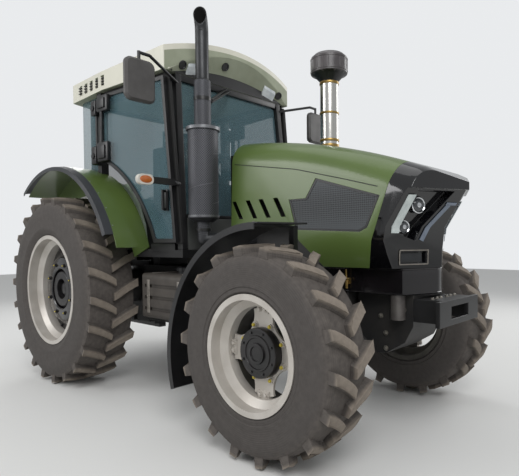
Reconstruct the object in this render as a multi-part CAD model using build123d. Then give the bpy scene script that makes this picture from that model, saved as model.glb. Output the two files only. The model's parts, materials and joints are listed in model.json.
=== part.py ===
from build123d import *
import math
import os

# Farm tractor, four-wheel drive with a cab. Millimetres, +X forward, +Y to the left, +Z up.
# The origin is on the ground, in the middle of the overall length and width.

# Layout
WHEELBASE = 2670
FRONT_OVERHANG = 860
REAR_OVERHANG = 1000
REAR_X = REAR_OVERHANG - (REAR_OVERHANG + WHEELBASE + FRONT_OVERHANG) / 2
FRONT_X = REAR_X + WHEELBASE
NOSE_X = FRONT_X + FRONT_OVERHANG
FIT = 0.3
PIN_PLAY = 0.05

# Wheels
FRONT_TRACK = 1810
FRONT_TYRE_R = 645
FRONT_TYRE_W = 378
FRONT_RIM_R = 330
FRONT_RIM_W = 356
REAR_TRACK = 1790
REAR_TYRE_R = 870
REAR_TYRE_W = 467
REAR_SIDEWALL = 387
REAR_RIM_R = REAR_TYRE_R - REAR_SIDEWALL
REAR_RIM_W = 406
RIM_WALL = 10
RIM_FLANGE = 26
RIM_WELL = 45
DISC_Y = 40
DISC_T = 16
DISC_BORE_R = 110
DISC_ARMS = 4
DISC_NOTCH_R = 140
TYRE_FACETS = 22
TREAD_DEPTH = 48
FRONT_TYRE_LUGS = 18
REAR_TYRE_LUGS = 22
LUG_SWEEP = 115
LUG_TOP_W = 46
LUG_ROOT_W = 84

# Front axle and steering
KINGPIN_Y = FRONT_TRACK / 2 - 285
AXLE_BOSS_R = 62
AXLE_BOSS_H = 190
KNUCKLE_FACE_Y = FRONT_TRACK / 2 - 135
KNUCKLE_EAR = 44
STEER_ARM = 190
STEER_ROD_R = 22
ROD_EYE_H = 26
FRONT_HUB_R = 141
FRONT_HUB_OUT = 95
FRONT_CAP_R = 124
AXLE_SADDLE_H = 175
FRAME_BOTTOM_Z = FRONT_TYRE_R + AXLE_SADDLE_H
FRONT_GUARD_GAP = 205
FRONT_GUARD_R = FRONT_TYRE_R + FRONT_GUARD_GAP
FRONT_GUARD_X = FRONT_X + 75
FRONT_GUARD_Z = FRONT_TYRE_R - 85
FRONT_GUARD_INNER_Y = 735
FRONT_GUARD_OUTER_Y = 1092
FRONT_GUARD_SKIN = 8
GUARD_STRAP = 12
GUARD_LIP = 40

# Rear axle and linkage
TRUMPET_END_Y = REAR_TRACK / 2 - 150
REAR_HUB_R = 120
LINK_PIVOT = (REAR_X - 160, REAR_TYRE_R - 350)
LINK_DROP = 50
LINK_EYE_Y = 435
LINK_PIVOT_Y = 235
LINK_PIN_R = 16
LINK_BALL_R = 14.5
LINK_EYE_R = 55
LIFT_ARM = 380
ARM_Y = 329
TOP_LINK_R = 12.8
ROCKSHAFT_RISE = 560
ROCKSHAFT_R = 35
ROD_PIN_R = 12
DRAWBAR_HOLE_R = 16.5
PTO_R = 17.5

# Hood
HOOD_REAR_X = REAR_X + 1795
HOOD_HALF_W = 420
HOOD_SILL_HALF_W = 350
HOOD_TOP_HALF_W = 392
HOOD_SILL_Z = 1127
HOOD_BELT_Z = 1300
HOOD_FLANK_Z = 1400
HOOD_REAR_TOP_Z = 2097
HOOD_SHOULDER_R = 190
HOOD_SKIN = 6
BROW_Z = 1645
NOSE_SWEEP = 0.45
BAND_BOTTOM_Z = 960
BAND_HALF_W = 290
BAND_CORNER_X = FRONT_X + 560
BAND_APEX_X = FRONT_X + 665
RAIL_W = 60
CARRIER_T = 30
BELLY_HALF_W = 210
MESH_OUTLINE = [(-270, 1597), (-115, 1597), (-30, 1727), (470, 1577), (385, 1383), (330, 1357), (-200, 1382)]
MESH_LAP = 14
LOUVRE_LEAN = 85
LOUVRE_W = 46
LOUVRE_XS = (-870, -715, -575, -425)
NOSE_WALL = 100
BAY_OUTLINE = [(75, 1600), (325, 1600), (325, 1340), (205, 1300)]
BAY_DEPTH = 70
LIGHT_BAR_Y = (335, 378)
LIGHT_BAR_Z = (1345, 1570)
LIGHT_BAR_T = 14
HEADLAMPS = ((255, 1516, 46), (275, 1385, 40))
FOG_BAY = [(115, 1232), (300, 1232), (300, 1160), (115, 1160)]
FOG_BAY_DEPTH = 32
HOOD_HINGE_X = HOOD_REAR_X + 15
HOOD_HINGE_Y = 150
HOOD_HINGE_Z = 2050
HOOD_PIN_R = 10
STACK_X = FRONT_X - 365
STACK_Y = 200
STACK_R = 73

# Engine and exhaust
ENGINE_REAR_X = REAR_X + 1785
ENGINE_HALF_W = BAND_HALF_W - RAIL_W - FIT
CLUTCH_TOP_Z = REAR_TYRE_R + 180
GEARBOX_TOP_Z = REAR_TYRE_R + 210
MUFFLER_X = REAR_X + 1635
MUFFLER_Y = 560
MUFFLER_R = 118
MUFFLER_COLLAR_R = 128
EXHAUST_TURN = -50
EXHAUST_BEND_R = 150
EXHAUST_MOUTH = 60
SIDE_BOX_Y = 330
SIDE_BOX_REAR_X = REAR_X + 1005
SIDE_BOX_FRONT_X = REAR_X + 1690
TANK_TOP_Z = REAR_TYRE_R + 175
TANK_H = 375
TANK_GROOVES = 3
TANK_GROOVE_PITCH = 95
BATTERY_TOP_Z = REAR_TYRE_R + 150
BATTERY_H = 320

# Rear fenders
FENDER_GAP = 280
FENDER_R = REAR_TYRE_R + FENDER_GAP
FENDER_INNER_Y = 700
FENDER_OUTER_Y = 1000
FENDER_SHELF_R = REAR_TYRE_R + 30
FENDER_SHELF_Y = 640
FENDER_SKIN = 8

# Cab, its floor set above the rear tyres' centres
FLOOR_RISE = 370
FLOOR_Z = REAR_TYRE_R + FLOOR_RISE
FLOOR_T = 60
CAB_H = 1440
CAB_TOP_Z = FLOOR_Z + CAB_H
PILLAR_FOOT = (REAR_X + 1465, 640, FLOOR_Z)
PILLAR_HEAD = (REAR_X + 1335, 592, CAB_TOP_Z)
PILLAR_W = 66
PILLAR_D = 56
REAR_WALL_X = REAR_X - 20
FIREWALL_TOP_Z = FLOOR_Z + 260
REAR_SILL_Z = FLOOR_Z + 510
GLASS = 6
ROOF_H = 310
ROOF_FRONT_X = REAR_X + 1465
ROOF_HEAD_X = REAR_X + 1365
ROOF_EDGE_H = 170
VISOR_LIFT = 232
VISOR_DROP = 150
VISOR_SLOPE = 1.35
ROOF_HALF_W = 800
ROOF_LAMP_Y = 444
ROOF_LAMP_T = 30
ROOF_VENTS = 5
MIRROR_ARM_R = 12
TURN_LAMP_Z = FLOOR_Z + 530
STEP_CHEEK = 20

# Doors
HINGE_X = REAR_X + 465
HINGE_Y = 800
HINGE_BARREL_R = 16
HINGE_BARREL_X = HINGE_X - 10
HINGE_BARREL_Y = HINGE_Y + 15
HINGE_BARREL_H = 45
DOOR_THICK = 36
DOOR_FRAME_W = 32
DOOR_BOTTOM_Z = FLOOR_Z + 60
DOOR_TOP_Z = CAB_TOP_Z - 40
DOOR_ARC_R = FENDER_R + 125
DOOR_REAR_X = HINGE_X + 5
DOOR_ARC_TOP_Z = REAR_TYRE_R + math.sqrt(DOOR_ARC_R ** 2 - (DOOR_REAR_X - REAR_X) ** 2)
DOOR_TOE_IN = 4.8
HINGE_ZS = (DOOR_ARC_TOP_Z + 94.8, DOOR_TOP_Z - 100)


def block(x_span, y_span, z_span):
    """Box between two limits along each axis."""
    size = [high - low for low, high in (x_span, y_span, z_span)]
    centre = [(high + low) / 2 for low, high in (x_span, y_span, z_span)]
    return Pos(*centre) * Box(*size)


def side_prism(outline, y_span):
    """Extrude an outline of (x, z) points from one y to another."""
    points = [(x, y_span[0], z) for x, z in outline]
    face = make_face(Polyline(*points, close=True))
    return extrude(face, amount=y_span[1] - y_span[0], dir=(0, 1, 0))


def plan_prism(outline, z_span):
    """Extrude an outline of (x, y) points from one z to another."""
    points = [(x, y, z_span[0]) for x, y in outline]
    face = make_face(Polyline(*points, close=True))
    return extrude(face, amount=z_span[1] - z_span[0], dir=(0, 0, 1))


def rod(start, end, radius):
    """Round bar between two points."""
    start = Vector(*start)
    end = Vector(*end)
    plane = Plane(origin=start, z_dir=end - start)
    return extrude(plane * Circle(radius), amount=(end - start).length)


def bar(start, end, width, height):
    """Rectangular bar between two points, its height kept near vertical."""
    start = Vector(*start)
    end = Vector(*end)
    along = (end - start).normalized()
    across = along.cross(Vector(0, 0, 1)) if abs(along.Z) < 0.7 else along.cross(Vector(0, 1, 0))
    plane = Plane(origin=start, x_dir=across, z_dir=along)
    return extrude(plane * Rectangle(width, height), amount=(end - start).length)


def across_y(x, z, radius, y_span):
    """Round bar along Y."""
    return rod((x, y_span[0], z), (x, y_span[1], z), radius)


def ring(outline):
    """Revolve an outline of (radius, y) points about the Y axis."""
    return revolve(make_face(Polyline(*outline, close=True)), Axis.Y, 360)


def arc_of(outline, low, high):
    """Revolve (radius, y) points about the Y axis between two elevations seen from the right."""
    face = make_face(Polyline(*outline, close=True))
    return Rot(0, -high, 0) * revolve(face, Axis.Y, high - low)


def other_side(shape):
    return mirror(shape, about=Plane.XZ)


def pair(shape):
    """A piece and its mirror image, kept as two solids."""
    return Compound(children=[shape, other_side(shape)])


def save(node, shape):
    os.makedirs("parts", exist_ok=True)
    export_step(shape, f"parts/{node}.step")


# Tyres, rims and hubs, built about the origin with the outer face towards +Y
def on_wheel(radius, y, angle):
    """Point at a radius, an axial place and an angle from straight ahead, about the origin."""
    return (radius * math.cos(angle), y, radius * math.sin(angle))


def closed(facets):
    """Solid inside flat facets that are given by their corners."""
    return Solid(Shell([make_face(Polyline(*corners, close=True)) for corners in facets]))


def facet_ring(outline):
    """Turn a closed (radius, y) outline about the Y axis in flat facets."""
    turn = 2 * math.pi / TYRE_FACETS
    facets = []
    for step in range(TYRE_FACETS):
        for (r0, y0), (r1, y1) in zip(outline, outline[1:] + outline[:1]):
            low = [on_wheel(r0, y0, turn * step), on_wheel(r1, y1, turn * step)]
            facets.append(low + [on_wheel(r1, y1, turn * (step + 1)), on_wheel(r0, y0, turn * (step + 1))])
    return closed(facets)


def tyre_lug(radius, width, wall):
    """One lug on the outer half: from the crown it trails outwards and runs over the shoulder."""
    crown = (-0.02 * width, radius)
    shoulder = (0.46 * width, radius - 12)
    crown_root = (-0.02 * width, radius - TREAD_DEPTH - 14)
    shoulder_root = (0.43 * width, radius - 0.33 * wall)
    sections = []
    ends = ((0, crown, crown_root), (LUG_SWEEP, shoulder, shoulder_root))
    for trail, (top_y, top_r), (root_y, root_r) in ends:
        top = LUG_TOP_W / 2
        root = LUG_ROOT_W / 2
        corners = [(root_r, root_y, -root), (top_r, top_y, -top), (top_r, top_y, top), (root_r, root_y, root)]
        sections.append([on_wheel(r, y, (trail + along) / radius) for r, y, along in corners])
    near, far = sections
    facets = [near, far]
    for i in range(4):
        j = (i + 1) % 4
        facets += [[near[i], near[j], far[j]], [near[i], far[j], far[i]]]
    return closed(facets)


def tyre(radius, width, rim_r, rim_w, lugs):
    wall = radius - rim_r
    seat_r = (rim_r + FIT) / math.cos(math.pi / TYRE_FACETS)
    flange_r = (rim_r + RIM_FLANGE + 4) / math.cos(math.pi / TYRE_FACETS)
    half_bead = rim_w / 2 - RIM_WALL - FIT
    outer = [(seat_r, half_bead), (flange_r, half_bead), (rim_r + 0.48 * wall, width / 2)]
    outer += [(radius - TREAD_DEPTH, width * 0.42)]
    carcass = facet_ring(outer + [(r, -y) for r, y in reversed(outer)])
    lug = tyre_lug(radius, width, wall)
    pitch = 360 / lugs
    lowest = 90 + math.degrees(LUG_TOP_W / 2 / radius)
    row = [Rot(0, lowest + pitch * step, 0) * lug for step in range(lugs)]
    row += [Rot(0, lowest + pitch * (step + 0.5), 0) * other_side(lug) for step in range(lugs)]
    return carcass.fuse(*row)


def rim(rim_r, rim_w):
    half = rim_w / 2
    well = rim_r - RIM_WELL
    outer = [(rim_r + RIM_FLANGE, half), (rim_r + RIM_FLANGE, half - RIM_WALL), (rim_r, half - RIM_WALL)]
    outer += [(rim_r, half * 0.62), (well, half * 0.45)]
    outer += [(r, -y) for r, y in reversed(outer)]
    inner = [(rim_r - RIM_WALL, -half), (rim_r - RIM_WALL, -half * 0.6), (well - RIM_WALL, -half * 0.42)]
    inner += [(r, -y) for r, y in reversed(inner)]
    return ring(outer + inner)


def front_rim():
    """Rim with a disc of four arms, each bolted to a lug inside the rim's well."""
    well_r = FRONT_RIM_R - RIM_WELL - RIM_WALL
    disc = ring([(DISC_BORE_R, -DISC_T), (well_r - 12, -DISC_T), (well_r - 12, 0), (DISC_BORE_R, 0)])
    notch = across_y(well_r + 30, 0, DISC_NOTCH_R, (-DISC_T - 1, 1))
    lug = Pos(well_r - 20, -DISC_T, 0) * Box(48, 48, 90)
    for step in range(DISC_ARMS):
        disc -= Rot(0, 360 / DISC_ARMS * (step + 0.5), 0) * notch
        disc += Rot(0, 360 / DISC_ARMS * step, 0) * lug
    return rim(FRONT_RIM_R, FRONT_RIM_W) + Pos(0, DISC_Y, 0) * disc


def front_hub():
    inner_y = KNUCKLE_FACE_Y + FIT - FRONT_TRACK / 2
    back = DISC_Y - DISC_T - FIT
    front = DISC_Y + FIT
    outline = [(0, inner_y), (FRONT_HUB_R, inner_y), (FRONT_HUB_R, back), (DISC_BORE_R - FIT, back)]
    outline += [(DISC_BORE_R - FIT, front), (FRONT_CAP_R, front), (FRONT_CAP_R, FRONT_HUB_OUT - 22)]
    outline += [(FRONT_CAP_R - 22, FRONT_HUB_OUT), (0, FRONT_HUB_OUT)]
    return ring(outline)


def rear_disc():
    inner_y = TRUMPET_END_Y + FIT - REAR_TRACK / 2
    reach = REAR_RIM_R - RIM_WELL - RIM_WALL - FIT
    outline = [(0, inner_y), (REAR_HUB_R, inner_y), (REAR_HUB_R, 20), (reach, -12), (reach, 12), (190, 48)]
    outline += [(REAR_HUB_R + 40, 85), (REAR_HUB_R - 25, 85), (REAR_HUB_R - 25, 30), (0, 30)]
    return ring(outline)


def wheels():
    front_at = Pos(FRONT_X, FRONT_TRACK / 2, FRONT_TYRE_R)
    rear_at = Pos(REAR_X, REAR_TRACK / 2, REAR_TYRE_R)
    return {
        "tyre_front": front_at * tyre(FRONT_TYRE_R, FRONT_TYRE_W, FRONT_RIM_R, FRONT_RIM_W, FRONT_TYRE_LUGS),
        "rim_front": front_at * front_rim(),
        "hub_front": front_at * front_hub(),
        "tyre_rear": rear_at * tyre(REAR_TYRE_R, REAR_TYRE_W, REAR_RIM_R, REAR_RIM_W, REAR_TYRE_LUGS),
        "rim_rear": rear_at * rim(REAR_RIM_R, REAR_RIM_W),
        "disc_rear": rear_at * rear_disc(),
    }


# Front axle: beam with its differential housing, steering cylinder and kingpin bosses
def front_axle():
    z = FRONT_TYRE_R
    boss_z = (z - AXLE_BOSS_H / 2, z + AXLE_BOSS_H / 2)
    boss = rod((FRONT_X, KINGPIN_Y, boss_z[0]), (FRONT_X, KINGPIN_Y, boss_z[1]), AXLE_BOSS_R)
    beam = loft([
        Plane((FRONT_X, 0, z), x_dir=(1, 0, 0), z_dir=(0, 1, 0)) * Rectangle(170, 190),
        Plane((FRONT_X, KINGPIN_Y - 30, z), x_dir=(1, 0, 0), z_dir=(0, 1, 0)) * Rectangle(80, 130),
    ])
    half = boss + beam
    shape = half + other_side(half)
    shape += Pos(FRONT_X, 0, z - 10) * Sphere(165)
    shape += block((FRONT_X - 150, FRONT_X + 150), (-95, 95), (z, FRAME_BOTTOM_Z))
    shape += across_y(FRONT_X - STEER_ARM, z, 42, (-230, 230))
    shape += block((FRONT_X - STEER_ARM, FRONT_X), (-200, 200), (z - 24, z + 24))
    shape -= across_y(FRONT_X - STEER_ARM, z, STEER_ROD_R + PIN_PLAY, (-240, 240))
    return shape


def steering_rod():
    x = FRONT_X - STEER_ARM
    shape = across_y(x, FRONT_TYRE_R, STEER_ROD_R, (-KINGPIN_Y, KINGPIN_Y))
    for y in (-KINGPIN_Y, KINGPIN_Y):
        shape += rod((x, y, FRONT_TYRE_R - ROD_EYE_H), (x, y, FRONT_TYRE_R + ROD_EYE_H), 30)
    return shape


def knuckle():
    z = FRONT_TYRE_R
    half = AXLE_BOSS_H / 2 + FIT
    plate_y = (KINGPIN_Y + 75, KNUCKLE_FACE_Y - 20)
    shape = block((FRONT_X - 105, FRONT_X + 105), plate_y, (z - half - KNUCKLE_EAR, z + half + KNUCKLE_EAR))
    shape += across_y(FRONT_X, z, 120, (plate_y[0], KNUCKLE_FACE_Y))
    for low, high in ((z + half, z + half + KNUCKLE_EAR), (z - half - KNUCKLE_EAR, z - half)):
        shape += rod((FRONT_X, KINGPIN_Y, low), (FRONT_X, KINGPIN_Y, high), AXLE_BOSS_R)
        shape += block((FRONT_X - AXLE_BOSS_R, FRONT_X + AXLE_BOSS_R), (KINGPIN_Y, plate_y[1]), (low, high))
    arm_z = (z - ROD_EYE_H - FIT - 30, z - ROD_EYE_H - FIT)
    arm_x = FRONT_X - STEER_ARM
    shape += rod((arm_x, KINGPIN_Y, arm_z[0]), (arm_x, KINGPIN_Y, arm_z[1]), 32)
    shape += block((arm_x, FRONT_X - 75), (KINGPIN_Y - 20, KINGPIN_Y + 32), arm_z)
    shape += block((FRONT_X - 105, FRONT_X - 75), (KINGPIN_Y, plate_y[1]), arm_z)
    post_y = (KINGPIN_Y + 30, KINGPIN_Y + 70)
    post_x = (FRONT_X - 20, FRONT_X + 20)
    under = FRONT_GUARD_R - FRONT_GUARD_SKIN
    strap_in = under - GUARD_STRAP
    strap_y = FRONT_GUARD_OUTER_Y - 60
    shape += block(post_x, post_y, (z + half + 10, FRONT_GUARD_Z + strap_in))
    strap = ring([(strap_in, post_y[0]), (under, post_y[0]), (under, strap_y), (strap_in, strap_y)])
    window = block(post_x, (0, FRONT_GUARD_OUTER_Y), (FRONT_GUARD_Z, 2 * FRONT_GUARD_R))
    shape += (Pos(FRONT_GUARD_X, 0, FRONT_GUARD_Z) * strap) & window
    return shape


def front_guard():
    """Arch over and behind the wheel, its flat front end swept forward on the inside."""
    inside = FRONT_GUARD_R - FRONT_GUARD_SKIN
    lip_y = FRONT_GUARD_OUTER_Y - FRONT_GUARD_SKIN
    section = [(FRONT_GUARD_R, FRONT_GUARD_INNER_Y), (FRONT_GUARD_R, FRONT_GUARD_OUTER_Y)]
    section += [(FRONT_GUARD_R - GUARD_LIP, FRONT_GUARD_OUTER_Y), (FRONT_GUARD_R - GUARD_LIP, lip_y)]
    section += [(inside, lip_y), (inside, FRONT_GUARD_INNER_Y)]
    shape = Pos(FRONT_GUARD_X, 0, FRONT_GUARD_Z) * arc_of(section, 90, 197)
    root_x = FRONT_GUARD_X - 10
    top_z = FRONT_GUARD_Z + FRONT_GUARD_R
    plan = [(root_x, FRONT_GUARD_INNER_Y), (root_x, FRONT_GUARD_OUTER_Y), (root_x + 35, FRONT_GUARD_OUTER_Y)]
    plan += [(root_x + 125, FRONT_GUARD_INNER_Y + 60), (root_x + 105, FRONT_GUARD_INNER_Y)]
    return shape + plan_prism(plan, (top_z - FRONT_GUARD_SKIN, top_z))


# Frame, engine and drive line
def front_frame():
    plan = [(FRONT_X - 420, BAND_HALF_W), (BAND_CORNER_X, BAND_HALF_W), (BAND_APEX_X, 30)]
    plan += [(x, -y) for x, y in reversed(plan)]
    shape = plan_prism(plan, (BAND_BOTTOM_Z, HOOD_SILL_Z - FIT))
    rail_y = BAND_HALF_W - RAIL_W
    shape -= block((FRONT_X - 500, FRONT_X + 440), (-rail_y, rail_y), (0, HOOD_SILL_Z + 100))
    saddle_x = (FRONT_X - 150, FRONT_X + 150)
    shape += block(saddle_x, (-BAND_HALF_W, BAND_HALF_W), (FRAME_BOTTOM_Z, BAND_BOTTOM_Z + 40))
    belly_x = BAND_CORNER_X + 30
    outline = [(saddle_x[1] + 30, BAND_BOTTOM_Z + 20), (belly_x, BAND_BOTTOM_Z + 20), (belly_x, 760)]
    outline += [(belly_x - 60, 650), (belly_x - 190, 570), (saddle_x[1] + 180, 560), (saddle_x[1] + 30, 700)]
    shape += side_prism(outline, (-BELLY_HALF_W, BELLY_HALF_W))
    for side in (-1, 1):
        y = side * (BAND_HALF_W - 48)
        column = rod((BAND_CORNER_X - 60, y, 800), (BAND_CORNER_X - 60, y, BAND_BOTTOM_Z + 20), 46)
        shape += column + block((BAND_CORNER_X - 90, BAND_CORNER_X - 30), sorted((0, y)), (820, 880))
    return shape


def front_carrier():
    """Bracket ahead of the band that holds the front weights on its slotted plate."""
    plate_x = FRONT_X + 804
    web_x = BAND_CORNER_X + 30
    shape = block((plate_x - CARRIER_T, plate_x), (-295, 295), (780, 935))
    shape -= block((plate_x - CARRIER_T - 1, plate_x + 1), (-130, 130), (820, 895))
    for y in (-BELLY_HALF_W, BELLY_HALF_W - 40):
        shape += block((web_x + FIT, plate_x - CARRIER_T), (y, y + 40), (790, 935))
    shape += block((web_x + FIT, plate_x - CARRIER_T), (-BELLY_HALF_W, BELLY_HALF_W), (915, 935))
    return shape


def engine_block():
    shape = block((ENGINE_REAR_X, FRONT_X - STEER_ARM - 60), (-190, 190), (700, 1050))
    shape += block((ENGINE_REAR_X, FRONT_X - 60), (-ENGINE_HALF_W, ENGINE_HALF_W), (1050, 1600))
    shape += block((ENGINE_REAR_X + 60, FRONT_X - 120), (-150, 150), (1600, 1760))
    shape += block((FRONT_X - 60, FRONT_X + 300), (-330, 330), (HOOD_SILL_Z, 1640))
    shape += block((ENGINE_REAR_X + 120, FRONT_X - 250), (-140, 140), (560, 700))
    return shape


def transmission():
    shape = block((REAR_X + 900, ENGINE_REAR_X), (-200, 200), (560, CLUTCH_TOP_Z))
    shape += block((REAR_X + 250, REAR_X + 900), (-240, 240), (520, GEARBOX_TOP_Z))
    for x in (REAR_X + 1130, REAR_X + 1500):
        shape += block((x, x + 80), (-SIDE_BOX_Y + FIT, SIDE_BOX_Y - FIT), (780, 900))
    return shape


def rear_axle():
    z = REAR_TYRE_R
    shape = block((REAR_X - 230, REAR_X + 250), (-190, 190), (z - 390, z + 250))
    flange_y = TRUMPET_END_Y - 40
    outline = [(0, 150), (190, 150), (190, 260), (120, 480), (120, flange_y), (150, flange_y)]
    outline += [(150, TRUMPET_END_Y), (0, TRUMPET_END_Y)]
    trumpet = Pos(REAR_X, 0, z) * ring(outline)
    shape += trumpet + other_side(trumpet)
    px, pz = LINK_PIVOT
    for side in (-1, 1):
        inner = sorted((side * (LINK_PIVOT_Y - 45), side * (LINK_PIVOT_Y - 25)))
        pin = sorted((side * (LINK_PIVOT_Y - 35), side * (LINK_PIVOT_Y + 40)))
        shape += block((px - 40, REAR_X - 20), inner, (pz - 45, pz + 60))
        shape += across_y(px, pz, LINK_PIN_R, pin)
    rx, rz = px, pz + ROCKSHAFT_RISE
    shape += block((rx - 70, REAR_X), (-180, 180), (rz - 80, rz + 80))
    shape -= across_y(rx, rz, ROCKSHAFT_R + PIN_PLAY, (-400, 400))
    for y in (-52, 28):
        shape += block((REAR_X - 330, REAR_X - 225), (y, y + 24), (z - 50, z + 50))
    shape -= across_y(REAR_X - 295, z + 10, TOP_LINK_R, (-80, 80))
    shape += rod((REAR_X - 225, 0, z - 230), (REAR_X - 335, 0, z - 230), PTO_R)
    return shape


def drawbar():
    tail_x = REAR_X - 640
    top_z = REAR_TYRE_R - 430
    shape = block((tail_x, REAR_X + 200), (-40, 40), (top_z - 40, top_z))
    shape = shape.fillet(30, shape.edges().filter_by(Axis.Z).group_by(Axis.X)[0])
    shape -= rod((tail_x + 60, 0, top_z - 50), (tail_x + 60, 0, top_z + 10), DRAWBAR_HOLE_R)
    for x in (REAR_X - 200, REAR_X + 140):
        shape += block((x, x + 50), (-90, 90), (top_z, top_z + 40))
    return shape


# Three-point linkage: the lower links and the lift arms stay parallel, so the rods stay upright
def link_end(side):
    px, pz = LINK_PIVOT
    return (REAR_X - REAR_OVERHANG + LINK_EYE_R, side * LINK_EYE_Y, pz - LINK_DROP)


def lower_links():
    px, pz = LINK_PIVOT
    shapes = []
    for side in (-1, 1):
        end = link_end(side)
        start = (px, side * LINK_PIVOT_Y, pz)
        shape = bar(start, end, 30, 76)
        shape += across_y(px, pz, 42, (start[1] - 18, start[1] + 18))
        shape += across_y(end[0], end[2], LINK_EYE_R, (end[1] - 22, end[1] + 22))
        shape -= across_y(px, pz, LINK_PIN_R + PIN_PLAY, (start[1] - 60, start[1] + 60))
        shape -= across_y(end[0], end[2], LINK_BALL_R, (end[1] - 60, end[1] + 60))
        shapes.append(shape)
    return Compound(children=shapes)


def arm_eye(side):
    px, pz = LINK_PIVOT
    end = link_end(side)
    slope = (end[2] - pz) / (px - end[0])
    run = LIFT_ARM / math.hypot(1, slope)
    return (px - run, side * ARM_Y, pz + ROCKSHAFT_RISE + slope * run)


def lift_arms():
    px, pz = LINK_PIVOT
    rz = pz + ROCKSHAFT_RISE
    shape = across_y(px, rz, ROCKSHAFT_R, (-ARM_Y - 25, ARM_Y + 25))
    for side in (-1, 1):
        eye = arm_eye(side)
        arm = bar((px, side * ARM_Y, rz), eye, 40, 90)
        arm += across_y(px, rz, 70, (side * ARM_Y - 25, side * ARM_Y + 25))
        arm += across_y(eye[0], eye[2], 45, (eye[1] - 20, eye[1] + 20))
        pin = sorted((eye[1], eye[1] + side * 75))
        arm += across_y(eye[0], eye[2], ROD_PIN_R, pin)
        shape += arm
    return shape


def lift_rods():
    shapes = []
    for side in (-1, 1):
        top = arm_eye(side)
        y = side * (ARM_Y + 45)
        foot_z = top[2] - ROCKSHAFT_RISE
        shape = across_y(top[0], top[2], 32, (y - 20, y + 20))
        shape += rod((top[0], y, top[2]), (top[0], y, foot_z), 20)
        shape += rod((top[0], y, top[2] - 140), (top[0], y, foot_z + 140), 28)
        shape += across_y(top[0], foot_z, 34, (y - 16, y + 16))
        shape -= across_y(top[0], top[2], ROD_PIN_R + PIN_PLAY, (y - 60, y + 60))
        shapes.append(shape)
    return Compound(children=shapes)


# Hood blank: the outer form drawn in by a skin, before its front is swept back
def hood_blank(inset):
    rear_x = HOOD_REAR_X if inset == 0 else HOOD_REAR_X - 50
    sill_z = HOOD_SILL_Z if inset == 0 else HOOD_SILL_Z - 50
    front_x = NOSE_X + 100
    mid = (FRONT_X - 60, 1977 - inset)
    fore = (FRONT_X + 695, 1745 - inset)
    tip = (NOSE_X, BROW_Z + 14 - inset)
    edges = [
        Line((rear_x, 0, sill_z), (rear_x, 0, HOOD_REAR_TOP_Z - inset)),
        ThreePointArc((rear_x, 0, HOOD_REAR_TOP_Z - inset), (mid[0], 0, mid[1]), (fore[0], 0, fore[1])),
        Line((fore[0], 0, fore[1]), (tip[0], 0, tip[1])),
        Line((tip[0], 0, tip[1]), (front_x, 0, tip[1] - 60)),
        Line((front_x, 0, tip[1] - 60), (front_x, 0, sill_z)),
        Line((front_x, 0, sill_z), (rear_x, 0, sill_z)),
    ]
    body = extrude(make_face(edges), amount=HOOD_HALF_W + 50, dir=(0, 1, 0), both=True)
    taper = (HOOD_HALF_W - HOOD_SILL_HALF_W) / (HOOD_BELT_Z - HOOD_SILL_Z)
    low_half = HOOD_HALF_W - taper * (HOOD_BELT_Z - sill_z + 20)
    outline = [(low_half - inset, sill_z - 20), (HOOD_HALF_W - inset, HOOD_BELT_Z)]
    outline += [(HOOD_TOP_HALF_W - inset, HOOD_REAR_TOP_Z + 60)]
    outline += [(-y, z) for y, z in reversed(outline)]
    face = make_face(Polyline(*[(rear_x - 10, y, z) for y, z in outline], close=True))
    body &= extrude(face, amount=front_x - rear_x + 20, dir=(1, 0, 0))
    shoulders = body.edges().filter_by(lambda e: e.center().Z > 1600 and abs(e.center().Y) > 300
                                       and e.bounding_box().size.X > 120)
    return body.fillet(HOOD_SHOULDER_R - inset, shoulders)


def swept(outline, y_span, sweep=NOSE_SWEEP):
    """Extrude an (x, z) outline outwards from the centre plane along the nose's swept plan."""
    low, high = y_span
    points = [(x - sweep * low, low, z) for x, z in outline]
    face = make_face(Polyline(*points, close=True))
    half = extrude(face, amount=(high - low) * math.hypot(1, sweep), dir=(-sweep, 1, 0))
    return half


def nose_profile(inset):
    """Centre line of the nose from under the brow down to the sill, drawn in by an inset."""
    x = NOSE_X - inset
    brow = BROW_Z - 35
    return [(x, brow), (x - 20, brow), (x - 157, 1385), (x - 177, 1220), (x - 180, HOOD_SILL_Z - 100)]


def nose_front(inset):
    outline = [(FRONT_X - 200, HOOD_SILL_Z - 100), (FRONT_X - 200, 2400), (NOSE_X - inset, 2400)]
    half = swept(outline + nose_profile(inset), (0, HOOD_HALF_W + 40))
    return half + other_side(half)


def front_prism(outline, x_span=(0, 3000)):
    """Extrude an outline of (y, z) points along X."""
    face = make_face(Polyline(*[(x_span[0], y, z) for y, z in outline], close=True))
    return extrude(face, amount=x_span[1] - x_span[0], dir=(1, 0, 0))


def nose_x(z):
    """Place of the nose's centre line at a height."""
    line = nose_profile(0)
    for (x_high, z_high), (x_low, z_low) in zip(line[1:], line[2:]):
        if z_low <= z <= z_high:
            return x_low + (x_high - x_low) * (z - z_low) / (z_high - z_low)
    return line[-1][0]


def light_bar():
    """Slanted lamp that lies on the nose outside the headlamp bay."""
    low, high = LIGHT_BAR_Z
    heights = (high, 1385, low)
    outline = [(nose_x(z) + FIT, z) for z in heights]
    outline += [(nose_x(z) + LIGHT_BAR_T, z) for z in reversed(heights)]
    return swept(outline, LIGHT_BAR_Y)


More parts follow.
